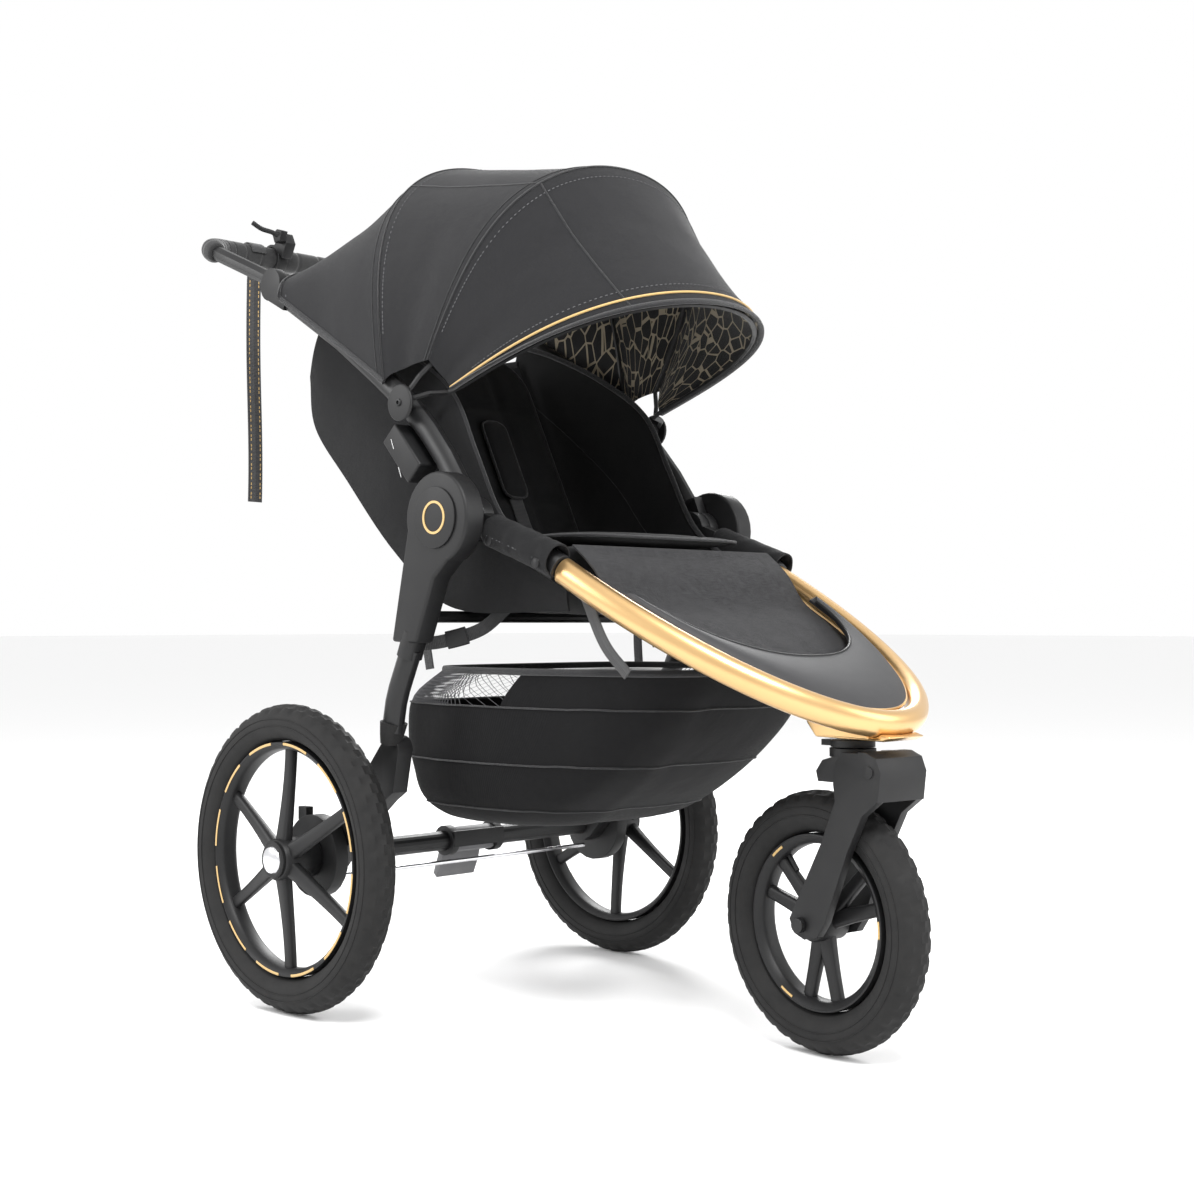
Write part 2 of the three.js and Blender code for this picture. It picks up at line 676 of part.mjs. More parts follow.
function bowPoint(bow, share, inset = 0) {
  const [x, reach] = archPoint(
    share,
    bow.halfWidth - inset,
    bow.reach - inset,
    bow.widthPower,
    bow.heightPower,
  );
  const lean = THREE.MathUtils.degToRad(bow.angle);
  const y = bow.foot[0] + reach * Math.sin(lean);
  const z = bow.foot[1] + reach * Math.cos(lean);
  return new THREE.Vector3(x, y, z);
}
function between(bowA, bowB, share, sag) {
  const mix = (a, b) => THREE.MathUtils.lerp(a, b, share);
  const mixed = {};
  for (const key of Object.keys(bowA)) {
    const [a, b] = [bowA[key], bowB[key]];
    mixed[key] = Array.isArray(a) ? a.map((value, i) => mix(value, b[i])) : mix(a, b);
  }
  const spread = THREE.MathUtils.degToRad(Math.abs(bowA.angle - bowB.angle)) / 2;
  const chord = Math.cos(spread) / Math.cos(spread * (2 * share - 1));
  mixed.reach *= THREE.MathUtils.lerp(1, chord, sag);
  return mixed;
}
// The back panel runs from the rear bow to a hem near the handle pivots.
const HEM = { halfWidth: 232, y: 130, z: 955, lift: 52, push: 14 };
function hemPoint(share, inset) {
  const [x, rise] = archPoint(share, HEM.halfWidth - inset, 1, 4, 2.6);
  return new THREE.Vector3(x, HEM.y + HEM.push * rise - inset * 0.3, HEM.z + HEM.lift * rise - inset);
}
const CANOPY_COLUMNS = 20;
function canopyRow(edge, pointAt) {
  const row = [];
  for (let i = 0; i <= CANOPY_COLUMNS; i++) {
    row.push(pointAt(edge + (1 - 2 * edge) * (i / CANOPY_COLUMNS)));
  }
  return row;
}
const canopyBows = [
  BOW_FRONT,
  between(BOW_FRONT, BOW_MIDDLE, 0.5, 1.3),
  BOW_MIDDLE,
  between(BOW_MIDDLE, BOW_REAR, 0.5, 1),
  BOW_REAR,
];
function canopyRows(inset) {
  const rows = canopyBows.map((bow) => canopyRow(bow.edge, (share) => bowPoint(bow, share, inset)));
  for (const step of [0.5, 1]) {
    const toHem = (share) => bowPoint(BOW_REAR, share, inset).lerp(hemPoint(share, inset), step);
    rows.push(canopyRow(BOW_REAR.edge, toHem));
  }
  return rows;
}
addPart("canopy_cloth", shell(canopyRows(0), canopyRows(CANOPY_THICKNESS)), CANOPY_CLOTH);

// Bow wires run inside the cloth. The two that fold swing outside the side tubes at the pivot.
const WIRE = { radius: 3.5, pivotX: 231.5 };
function bowWire(bow, folds) {
  const lean = THREE.MathUtils.degToRad(bow.angle);
  const spoke = (side, x, radius) =>
    at(side * x, [bow.foot[0] + radius * Math.sin(lean), bow.foot[1] + radius * Math.cos(lean)]);
  const clothEdge = bow.reach * Math.sin(bow.edge * Math.PI) ** (2 / bow.heightPower);
  const inner = [bow.halfWidth - BOW_INSET, Math.max(clothEdge - 8, 36)];
  const ends = folds ? [[WIRE.pivotX, 17], [WIRE.pivotX, 28], inner] : [inner];
  const line = ends.map((end) => spoke(1, ...end));
  const count = 17;
  for (let i = 1; i <= count; i++) {
    const share = (1 - Math.cos((Math.PI * (i + 0.6)) / (count + 2.2))) / 2;
    line.push(bowPoint(bow, share, BOW_INSET));
  }
  line.push(...ends.reverse().map((end) => spoke(-1, ...end)));
  return tubeAlong(line, 2 * WIRE.radius, 2 * WIRE.radius, 36, 6);
}
addPart("canopy_bow_front", bowWire(BOW_FRONT, true), BLACK_METAL);
addPart("canopy_bow_middle", bowWire(BOW_MIDDLE, true), BLACK_METAL);
addPart("canopy_bow_rear", bowWire(BOW_REAR, false), BLACK_METAL);
const canopyMount = join(
  discX(10, TUBE_X + 13 + GAP, 238, CANOPY_PIVOT, 16),
  discX(24, 236, 241, CANOPY_PIVOT, 24),
);
addPair("canopy_mount", canopyMount, BLACK_PLASTIC);

// ---------------------------------------------------------------- accessory brackets

// A block behind each upper tube that a carrier or bumper bar clips onto.
const ADAPTER = { middle: [-139, 722], length: 76, depth: 34, x: [204, 236] };
function adapterOutline() {
  const along = new THREE.Vector2(0.675, 0.738);
  const side = new THREE.Vector2(along.y, -along.x);
  return [[-1, -1], [1, -1], [1, 1], [-1, 1]].map(([a, b]) => [
    ADAPTER.middle[0] + (a * along.x * ADAPTER.length + b * side.x * ADAPTER.depth) / 2,
    ADAPTER.middle[1] + (a * along.y * ADAPTER.length + b * side.y * ADAPTER.depth) / 2,
  ]);
}
addPair("adapter", plate(adapterOutline(), ...ADAPTER.x), BLACK_PLASTIC);

// ---------------------------------------------------------------- seat

// The backrest leans back from the crease where it meets the seat.
const BACK_FOOT = [-94, 592];
const BACK_HEAD = [62, 908];
const backLine = new THREE.Vector2(BACK_HEAD[0] - BACK_FOOT[0], BACK_HEAD[1] - BACK_FOOT[1]);
const backLength = backLine.length();
backLine.normalize();
// A point measured up the backrest's front face and out of it.
function onBack(up, out) {
  return [
    BACK_FOOT[0] + up * backLine.x - out * backLine.y,
    BACK_FOOT[1] + up * backLine.y + out * backLine.x,
  ];
}
function backSlab(up0, up1, out0, out1, x0, x1) {
  return plate([onBack(up0, out0), onBack(up1, out0), onBack(up1, out1), onBack(up0, out1)], x0, x1);
}
addPart("seat_back", backSlab(0, backLength, -24, 0, -166, 166), SEAT_CLOTH);
const pad = backSlab(96, 226, 1, 11, 22, 68);
addPair("shoulder_pad", pad, SEAT_CLOTH);

// The gusset is a fabric pocket behind the backrest: two wings and a back panel.
const GUSSET_X = 176;
const gussetWing = [
  [-58, 604], [-64, 590], [124, 774], [144, 900], [92, 900], [76, 880],
];
const gussetPanel = [[-62, 596], [-58, 592], [128, 770], [149, 900], [143, 900], [122, 773]];
const wing = plate(gussetWing, GUSSET_X - 4, GUSSET_X);
const gusset = join(wing, wing.mirror([1, 0, 0]), plate(gussetPanel, -GUSSET_X, GUSSET_X));
addPart("seat_gusset", gusset, SEAT_CLOTH);

const sideOutline = [
  [112, 868], [112, 778], [-66, 597], [-184, 524], [-392, 520], [-392, 548],
  [-330, 578], [-262, 618], [-196, 690], [-132, 758], [0, 846], [70, 892],
];
addPair("seat_side", plate(sideOutline, SEAT_HALF_WIDTH - 4, SEAT_HALF_WIDTH), SEAT_CLOTH);

const seatOutline = [
  [-84, 566], [-98, 586], [-150, 566], [-220, 553], [-300, 556], [-350, 572], [-388, 600],
  [-394, 592], [-392, 560], [-300, 532], [-200, 530], [-140, 538],
];
addPart("seat_base", plate(seatOutline, 6 - SEAT_HALF_WIDTH, SEAT_HALF_WIDTH - 6), SEAT_CLOTH);

// The apron falls from the seat's front edge under the lip of the footplate.
const apronLine = [[-396, 598], [-430, 570], [-462, 530], [-510, 503], [-560, 473], [-612, 436]];
function apronRows(drop) {
  return apronLine.map(([y, z]) => {
    const reachShare = Math.min(1, (HOOP.backY - Math.min(y, HOOP.backY)) / (HOOP.backY - HOOP.noseY));
    const inside = HOOP.halfWidth * (1 - reachShare ** HOOP.power) ** (1 / HOOP.power);
    const half = Math.min(inside - HOOP_TUBE.wide / 2 - 4, SEAT_HALF_WIDTH + 6);
    const row = [];
    for (let i = 0; i <= 8; i++) {
      row.push(new THREE.Vector3(half * (1 - i / 4), y, z - drop));
    }
    return row;
  });
}
addPart("apron", shell(apronRows(0), apronRows(7)), LINEN_CLOTH);

// ---------------------------------------------------------------- basket

// Levels of the basket: height, rear and front reach and half-width of a rounded ring.
const basketLevels = [
  [243, -128, -268, 104],
  [252, -94, -318, 148],
  [276, -64, -366, 174],
  [316, -48, -428, 188],
  [364, -46, -482, 195],
  [410, -58, -520, 200],
  [446, -124, -538, 204],
];
const BASKET_CLOTH_THICKNESS = 4;
const BASKET_NARROWING = 0.22; // share of the width lost towards the front
function basketRing([height, rear, front, half], inset) {
  const ring = [];
  const sides = 24;
  for (let i = 0; i < sides; i++) {
    const turn = (i / sides) * 2 * Math.PI;
    const x = Math.sign(Math.cos(turn)) * Math.abs(Math.cos(turn)) ** (2 / 5);
    const y = Math.sign(Math.sin(turn)) * Math.abs(Math.sin(turn)) ** (2 / 5);
    const middle = (rear + front) / 2;
    const reach = (rear - front) / 2 - inset;
    const width = half * (1 - BASKET_NARROWING * Math.max(0, -y)) - inset;
    ring.push(new THREE.Vector3(x * width, middle + y * reach, height));
  }
  return ring;
}
const basketOuter = loft(basketLevels.map((level) => basketRing(level, 0)));
const basketRoomLevels = basketLevels.map(([height, ...rest]) => [height + 4, ...rest]);
const basketRoom = loft(basketRoomLevels.map((level) => basketRing(level, BASKET_CLOTH_THICKNESS)));
addPart("basket", basketOuter.subtract(basketRoom), BASKET_CLOTH);

const root = new THREE.Group();
chassis.position.set(0, ORIGIN_BEHIND_AXLE, 0);
root.add(chassis);
export default root;
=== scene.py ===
"""The looks of a three-wheeled all-terrain stroller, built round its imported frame. Lengths are in metres."""

import json
import math

import bmesh
import bpy
import numpy as np
from mathutils import Matrix, Vector, noise

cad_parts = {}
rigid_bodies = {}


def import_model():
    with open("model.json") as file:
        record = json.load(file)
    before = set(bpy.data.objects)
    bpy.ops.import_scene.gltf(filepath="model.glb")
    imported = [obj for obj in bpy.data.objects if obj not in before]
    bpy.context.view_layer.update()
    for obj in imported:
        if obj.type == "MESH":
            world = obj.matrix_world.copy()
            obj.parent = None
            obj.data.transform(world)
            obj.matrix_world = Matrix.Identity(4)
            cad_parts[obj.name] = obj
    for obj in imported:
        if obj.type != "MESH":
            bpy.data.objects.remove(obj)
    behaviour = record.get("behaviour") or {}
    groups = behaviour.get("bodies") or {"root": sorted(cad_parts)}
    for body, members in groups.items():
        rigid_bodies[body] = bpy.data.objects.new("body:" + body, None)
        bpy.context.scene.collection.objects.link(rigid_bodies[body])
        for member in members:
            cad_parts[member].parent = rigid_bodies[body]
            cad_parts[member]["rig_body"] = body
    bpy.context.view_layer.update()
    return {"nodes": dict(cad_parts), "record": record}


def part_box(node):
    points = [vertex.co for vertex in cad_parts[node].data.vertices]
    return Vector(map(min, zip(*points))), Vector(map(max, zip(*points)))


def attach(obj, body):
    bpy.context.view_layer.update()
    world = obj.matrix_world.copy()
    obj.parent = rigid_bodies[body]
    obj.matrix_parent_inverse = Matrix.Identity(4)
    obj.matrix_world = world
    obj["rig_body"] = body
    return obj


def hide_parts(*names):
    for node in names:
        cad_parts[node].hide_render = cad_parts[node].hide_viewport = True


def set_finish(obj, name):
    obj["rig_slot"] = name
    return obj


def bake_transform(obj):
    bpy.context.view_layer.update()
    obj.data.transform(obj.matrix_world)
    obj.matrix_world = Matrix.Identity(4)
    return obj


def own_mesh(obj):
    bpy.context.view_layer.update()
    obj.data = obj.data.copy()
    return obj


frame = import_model()
NODES = frame["nodes"]
AXLE_Y = sum(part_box("hub_cap_rear_left"), Vector()).y / 2  # the rear axle; chassis places count from it


def at(x, y, z):
    """A place given across the stroller, behind the rear axle and above the floor."""
    return Vector((x, y + AXLE_Y, z))

# ------------------------------------------------------------------ camera, light and floor


def look_from(name, spot, heading, climb, lens):
    """A camera at spot whose heading is counted from +Y towards +X."""
    data = bpy.data.cameras.new(name)
    data.lens = lens
    data.sensor_width = 36.0
    camera = bpy.data.objects.new(name, data)
    bpy.context.scene.collection.objects.link(camera)
    camera.location = spot
    aim = Vector((math.sin(heading) * math.cos(climb), math.cos(heading) * math.cos(climb), math.sin(climb)))
    camera.rotation_euler = aim.to_track_quat("-Z", "Y").to_euler()
    bpy.context.scene.camera = camera


def area_light(name, spot, target, size, power, color=(1, 1, 1)):
    data = bpy.data.lights.new(name, "AREA")
    data.shape = "DISK"
    data.size = size
    data.energy = power
    data.color = color
    light = bpy.data.objects.new(name, data)
    bpy.context.scene.collection.objects.link(light)
    light.location = spot
    light.rotation_euler = (Vector(target) - Vector(spot)).to_track_quat("-Z", "Y").to_euler()


look_from("Camera", at(-1.6744, -1.9032, 0.5058), heading=0.7942, climb=0.0144, lens=53.54)
MIDDLE = (0, 0, 0.6)
area_light("Key", (-1.6, -2.0, 3.2), MIDDLE, 1.2, 125)
area_light("Fill", (1.6, -3.4, 1.8), MIDDLE, 2.6, 45)
area_light("Rim", (2.6, 2.0, 2.4), MIDDLE, 1.6, 90)
area_light("Back", (-2.8, 2.2, 2.0), MIDDLE, 1.8, 60)

# ------------------------------------------------------------------ materials


class Finish:
    """A Principled material with a few procedural layers."""

    def __init__(self, name, color, roughness, metallic=0.0, **sockets):
        self.material = bpy.data.materials.new(name)
        self.material.use_nodes = True
        self.tree = self.material.node_tree
        self.surface = self.tree.nodes["Principled BSDF"]
        self.surface.inputs["Base Color"].default_value = (*color, 1)
        self.surface.inputs["Roughness"].default_value = roughness
        self.surface.inputs["Metallic"].default_value = metallic
        for label, value in sockets.items():
            self.surface.inputs[label.replace("_", " ")].default_value = value
        self.last_bump = None

    def node(self, kind, **values):
        made = self.tree.nodes.new(kind)
        for label, value in values.items():
            if label in made.inputs.keys():
                made.inputs[label].default_value = value
            else:
                setattr(made, label, value)
        return made

    def link(self, output, target):
        self.tree.links.new(output, target)

    def space(self, stretch=(1, 1, 1), uv=False):
        place = self.node("ShaderNodeTexCoord")
        mapping = self.node("ShaderNodeMapping", Scale=stretch)
        self.link(place.outputs["UV" if uv else "Object"], mapping.inputs["Vector"])
        return mapping.outputs["Vector"]

    def noise(self, scale, detail=4.0, stretch=(1, 1, 1), uv=False):
        made = self.node("ShaderNodeTexNoise", Scale=scale, Detail=detail)
        self.link(self.space(stretch, uv), made.inputs["Vector"])
        return made.outputs["Fac"]

    def bands(self, scale, direction, uv=True, distortion=0.0):
        made = self.node("ShaderNodeTexWave", Scale=scale, Distortion=distortion)
        made.bands_direction = direction
        self.link(self.space(uv=uv), made.inputs["Vector"])
        return made.outputs["Fac"]

    def mix(self, a, b, operation):
        made = self.node("ShaderNodeMath", operation=operation)
        self.link(a, made.inputs[0])
        if isinstance(b, (int, float)):
            made.inputs[1].default_value = b
        else:
            self.link(b, made.inputs[1])
        return made.outputs[0]

    def ramp(self, value, low, high):
        made = self.node("ShaderNodeMapRange")
        made.inputs["From Min"].default_value = low
        made.inputs["From Max"].default_value = high
        self.link(value, made.inputs["Value"])
        return made.outputs["Result"]

    def colors(self, factor, dark, light):
        made = self.node("ShaderNodeMix", data_type="RGBA")
        made.inputs[6].default_value = (*dark, 1)
        made.inputs[7].default_value = (*light, 1)
        self.link(factor, made.inputs[0])
        self.link(made.outputs[2], self.surface.inputs["Base Color"])
        return self

    def roughen(self, factor, low, high):
        made = self.node("ShaderNodeMapRange")
        made.inputs["To Min"].default_value = low
        made.inputs["To Max"].default_value = high
        self.link(factor, made.inputs["Value"])
        self.link(made.outputs["Result"], self.surface.inputs["Roughness"])
        return self

    def bump(self, height, distance, strength=1.0):
        made = self.node("ShaderNodeBump", Distance=distance, Strength=strength)
        self.link(height, made.inputs["Height"])
        if self.last_bump:
            self.link(self.last_bump, made.inputs["Normal"])
        self.last_bump = made.outputs["Normal"]
        self.link(self.last_bump, self.surface.inputs["Normal"])
        return self


def finished(name, base, roughness, tone=None, gloss=None, grain=None, **sockets):
    """A painted, moulded or metal finish: tone is two colors and the scale and detail of their patches, gloss
    the scale, detail and range of the roughness, and grain the scale and depth of the surface."""
    made = Finish(name, base, roughness, **sockets)
    if tone:
        dark, light, scale, detail = tone
        made.colors(made.noise(scale, detail), dark, light)
    if gloss:
        scale, detail, low, high = gloss
        made.roughen(made.noise(scale, detail), low, high)
    if grain:
        scale, depth = grain
        made.bump(made.noise(scale, 2.0), depth)
    return made.material


def wave_scale(pitch):
    """The Wave texture's scale for bands of that pitch, in metres."""
    return 2 * math.pi / (20 * pitch)


def woven(name, dark, light, pitch, depth, slub=0.5, sheen=0.3, creases=0.0):
    """Plain weave on the piece's own flat measure, with slubs along both threads."""
    made = Finish(name, dark, 0.85, Sheen_Weight=sheen, Sheen_Roughness=0.45, Specular_IOR_Level=0.18)
    turns = wave_scale(pitch)
    warp = made.bands(turns, "X")
    weft = made.bands(turns, "Y")
    along = made.noise(1.0, 3.0, (60, 900, 1), uv=True)
    across = made.noise(1.0, 3.0, (900, 60, 1), uv=True)
    threads = made.mix(warp, weft, "MULTIPLY")
    slubs = made.mix(along, across, "ADD")
    cloudy = made.mix(made.ramp(slubs, 0.75, 1.3), slub, "MULTIPLY")
    tone = made.mix(cloudy, made.mix(threads, 1 - slub, "MULTIPLY"), "ADD")
    made.colors(tone, dark, light)
    made.bump(threads, depth)
    made.bump(slubs, depth * 0.8)
    if creases:
        made.bump(made.noise(7.0, 5.0), creases)
    return made.material


def lining():
    """A black inner cloth with a fine network of pale lines."""
    made = woven("hood_lining", (0.012, 0.012, 0.013), (0.022, 0.022, 0.024), 0.0006, 0.0001)
    tree = made.node_tree
    surface = tree.nodes["Principled BSDF"]
    place = tree.nodes.new("ShaderNodeTexCoord")
    cells = tree.nodes.new("ShaderNodeTexVoronoi")
    cells.feature = "DISTANCE_TO_EDGE"
    cells.inputs["Scale"].default_value = 34.0
    cells.inputs["Randomness"].default_value = 0.75
    tree.links.new(place.outputs["UV"], cells.inputs["Vector"])
    line = tree.nodes.new("ShaderNodeMath")
    line.operation = "LESS_THAN"
    line.inputs[1].default_value = 0.045
    tree.links.new(cells.outputs["Distance"], line.inputs[0])
    mixed = tree.nodes.new("ShaderNodeMix")
    mixed.data_type = "RGBA"
    mixed.inputs[7].default_value = (0.42, 0.36, 0.26, 1)
    base = surface.inputs["Base Color"].links[0].from_socket
    tree.links.new(base, mixed.inputs[6])
    tree.links.new(line.outputs[0], mixed.inputs[0])
    tree.links.new(mixed.outputs[2], surface.inputs["Base Color"])
    return made


def ribbed_webbing():
    """Black webbing with ribs across it and finer threads along it."""
    color = (0.016, 0.016, 0.017)
    made = Finish("webbing", color, 0.7, Sheen_Weight=0.3)
    ribs = made.bands(wave_scale(0.0022), "Y")
    threads = made.bands(wave_scale(0.0012), "X")
    made.colors(ribs, tuple(c * 0.7 for c in color), tuple(c * 1.7 for c in color))
    made.bump(ribs, 0.0003)
    return made.bump(threads, 0.0001).material


GOLD = finished("gold_satin", (0.70, 0.45, 0.20), 0.3, ((0.66, 0.42, 0.18), (0.74, 0.49, 0.23), 9.0, 5.0),
                (9.0, 5.0, 0.24, 0.38), (2600, 0.00004), metallic=0.92, Coat_Weight=0.25, Coat_Roughness=0.2)
COATED = finished("black_powder_coat", (0.008, 0.008, 0.0085), 0.42, gloss=(14.0, 4.0, 0.36, 0.5),
                  grain=(1500, 0.00008), Specular_IOR_Level=0.4)
MOULDED = finished("black_moulding", (0.016, 0.016, 0.017), 0.5,
                   ((0.006, 0.006, 0.0065), (0.012, 0.012, 0.0125), 35.0, 6.0),
                   (20.0, 4.0, 0.42, 0.6), (1900, 0.00006), Specular_IOR_Level=0.35)
WHEEL = finished("wheel_moulding", (0.014, 0.014, 0.015), 0.46,
                 ((0.005, 0.005, 0.0055), (0.011, 0.011, 0.0115), 24.0, 6.0),
                 (11.0, 4.0, 0.38, 0.56), (1300, 0.00008), Specular_IOR_Level=0.35)
TYRE = finished("tyre_rubber", (0.02, 0.02, 0.02), 0.72,
                ((0.007, 0.007, 0.0075), (0.017, 0.0165, 0.016), 55.0, 8.0),
                (18.0, 4.0, 0.6, 0.86), (900, 0.0002), Specular_IOR_Level=0.3)
PLATE_RUBBER = finished("footplate_rubber", (0.03, 0.03, 0.032), 0.62,
                        ((0.024, 0.024, 0.026), (0.038, 0.038, 0.04), 60.0, 7.0), grain=(1400, 0.00015))
FOAM = finished("grip_foam", (0.014, 0.014, 0.015), 0.82,
                ((0.006, 0.006, 0.006), (0.016, 0.016, 0.017), 120.0, 6.0),
                grain=(700, 0.0005), Sheen_Weight=0.25)
GREY = finished("grey_moulding", (0.13, 0.13, 0.135), 0.55,
                ((0.11, 0.11, 0.115), (0.16, 0.16, 0.165), 50.0, 5.0), grain=(1600, 0.0001))
BRIGHT = finished("bright_metal", (0.74, 0.74, 0.76), 0.2, gloss=(60.0, 6.0, 0.12, 0.32), metallic=1.0)
THREAD = finished("gold_thread", (0.55, 0.36, 0.13), 0.6, grain=(900, 0.0001), Sheen_Weight=0.3)
PALE = finished("pale_print", (0.6, 0.6, 0.6), 0.6, grain=(900, 0.00005))
DARK_THREAD = finished("grey_thread", (0.09, 0.09, 0.095), 0.7, grain=(900, 0.0001))
CANOPY = woven("canopy_cloth", (0.011, 0.011, 0.012), (0.024, 0.024, 0.026), 0.0007, 0.00012, 0.35, 0.12,
               creases=0.004)
LINEN = woven("linen_cloth", (0.008, 0.008, 0.009), (0.052, 0.052, 0.055), 0.0009, 0.00035, 0.75, 0.1)
SEAT = woven("seat_cloth", (0.005, 0.005, 0.0055), (0.014, 0.014, 0.015), 0.0008, 0.0002, 0.4, 0.08,
             creases=0.003)
BASKET = woven("basket_cloth", (0.003, 0.003, 0.0035), (0.008, 0.008, 0.0085), 0.0008, 0.00012, 0.3, 0.04,
               creases=0.006)
BINDING = woven("binding_tape", (0.012, 0.012, 0.013), (0.03, 0.03, 0.032), 0.0006, 0.0002, 0.2, 0.3)
LINING = lining()
WEBBING = ribbed_webbing()

SLOT_MATERIAL = {
    "tyre": TYRE,
    "rim_plastic": WHEEL,
    "silver": BRIGHT,
    "black_plastic": MOULDED,
    "grey_plastic": GREY,
    "black_metal": COATED,
    "gold_metal": GOLD,
    "foot_rubber": PLATE_RUBBER,
    "grip_foam": FOAM,
    "webbing": WEBBING,
    "canopy_cloth": CANOPY,
    "seat_cloth": SEAT,
    "linen_cloth": LINEN,
    "basket_cloth": BASKET,
}
NODE_SLOT = {part["node"]: part["material_slot"] for part in frame["record"]["subparts"]}
NODE_BODY = {}
for body, members in frame["record"]["behaviour"]["bodies"].items():
    for member in members:
        NODE_BODY[member] = body

BOTH_SIDES = (("left", 1), ("right", -1))


def side_of(node):
    """1 for a node on the left of the stroller, where x is positive, and -1 for one on its right."""
    return math.copysign(1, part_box(node)[0].x)

# ------------------------------------------------------------------ mesh helpers


def smooth_shade(mesh, sharp_degrees):
    mesh.polygons.foreach_set("use_smooth", [True] * len(mesh.polygons))
    mesh.set_sharp_from_angle(angle=math.radians(sharp_degrees))


def piece(name, verts, faces, material, body, slot, sharp=50, uvs=None, replaced=()):
    """A mesh object that rides on a body; uvs, one per vertex, are its flat measure in metres."""
    mesh = bpy.data.meshes.new(name)
    mesh.from_pydata([tuple(v) for v in verts], [], faces)
    mesh.update()
    if uvs is not None:
        layer = mesh.uv_layers.new(name="flat")
        for loop in mesh.loops:
            layer.data[loop.index].uv = uvs[loop.vertex_index]
    mesh.materials.append(material)
    made = bpy.data.objects.new(name, mesh)
    bpy.context.scene.collection.objects.link(made)
    outward(made)
    smooth_shade(mesh, sharp)
    if body:
        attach(made, body)
    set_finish(made, slot)
    if replaced:
        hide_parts(*replaced)
    return made


def outward(made):
    work = bmesh.new()
    work.from_mesh(made.data)
    bmesh.ops.recalc_face_normals(work, faces=work.faces)
    work.to_mesh(made.data)
    work.free()


def spline(a, b, c, d, t):
    """The place at share t between b and c, on a smooth curve through all four."""
    return 0.5 * (2 * b + (c - a) * t + (2 * a - 5 * b + 4 * c - d) * t * t + (3 * b - a - 3 * c + d) * t**3)


def ring_faces(rings, around, first=0, keep=None):
    """The side faces between rings of vertices. keep(i, k) says which of them are made."""
    faces = []
    for i in range(rings - 1):
        for k in range(around):
            if keep and not keep(i, k):
                continue
            a, b = first + i * around, first + (i + 1) * around
            n = (k + 1) % around
            faces.append((a + k, a + n, b + n, b + k))
    return faces


def catmull(points, steps):
    """Points along a smooth curve through the given points."""
    given = [Vector(p) for p in points]
    ends = [2 * given[0] - given[1], *given, 2 * given[-1] - given[-2]]
    line = []
    for a, b, c, d in zip(ends, ends[1:], ends[2:], ends[3:]):
        for i in range(steps):
            t = i / steps
            line.append(spline(a, b, c, d, t))
    line.append(given[-1])
    return line


def sweep(name, line, section, material, body, slot, up=(0, 0, 1), sharp=50, replaced=(), scale=None):
    """A closed body that carries a section, [(side, up)], along a line of points."""
    line = [Vector(p) for p in line]
    count = len(section)
    verts = []
    uvs = []
    travelled = 0.0
    reach = [0.0]
    for (a, b), (c, d) in zip(section, section[1:]):
        reach.append(reach[-1] + math.hypot(c - a, d - b))
    for i, spot in enumerate(line):
        ahead = (line[min(i + 1, len(line) - 1)] - line[max(i - 1, 0)]).normalized()
        side = ahead.cross(Vector(up)).normalized()
        above = side.cross(ahead).normalized()
        if i:
            travelled += (spot - line[i - 1]).length
        share = scale(i / (len(line) - 1)) if scale else 1.0
        for k, (a, b) in enumerate(section):
            verts.append(spot + side * a * share + above * b * share)
            uvs.append((reach[k], travelled))
    faces = ring_faces(len(line), count)
    faces.append(tuple(range(count)))
    faces.append(tuple(range((len(line) - 1) * count, len(line) * count)))
    return piece(name, verts, faces, material, body, slot, sharp, uvs, replaced)


def oval(wide, tall, sides=16, power=2.0):
    outline = []
    for i in range(sides):
        turn = 2 * math.pi * i / sides
        c, s = math.cos(turn), math.sin(turn)
        outline.append(
            (
                wide / 2 * math.copysign(abs(c) ** (2 / power), c),
                tall / 2 * math.copysign(abs(s) ** (2 / power), s),
            )
        )
    return outline


def lathe(name, profile, middle, direction, material, body, slot, segments=48, sharp=40, replaced=(),
          shape=None):
    """A body turned round a line: profile is a closed loop of (radius, along), which shape may change."""
    direction = Vector(direction).normalized()
    side = direction.cross(Vector((0, 0, 1))).normalized()
    above = side.cross(direction).normalized()
    verts = []
    uvs = []
    count = len(profile)
    for i in range(segments):
        turn = 2 * math.pi * i / segments
        out = side * math.cos(turn) + above * math.sin(turn)
        for k, (radius, along) in enumerate(profile):
            r, a = shape(turn, radius, along) if shape else (radius, along)
            verts.append(Vector(middle) + out * r + direction * a)
            uvs.append((turn * 0.17, k * 0.004))
    faces = []
    for i in range(segments):
        j = (i + 1) % segments
        for k in range(count):
            n = (k + 1) % count
            faces.append((i * count + k, i * count + n, j * count + n, j * count + k))
    made = piece(name, verts, faces, material, None, slot, sharp, uvs, replaced)
    weld(made)
    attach(made, body)
    return made


def weld(made, reach=1e-6):
    work = bmesh.new()
    work.from_mesh(made.data)
    bmesh.ops.remove_doubles(work, verts=work.verts, dist=reach)
    bmesh.ops.recalc_face_normals(work, faces=work.faces)
    work.to_mesh(made.data)
    work.free()


ON_AXIS = 1e-7  # a turned profile starts and ends this close to its line, and its points there are welded


def disc_profile(radius, low, high, rounding=0.0008):
    return [(ON_AXIS, low), (radius - rounding, low), (radius, low + rounding), (radius, high - rounding),
            (radius - rounding, high), (ON_AXIS, high)]


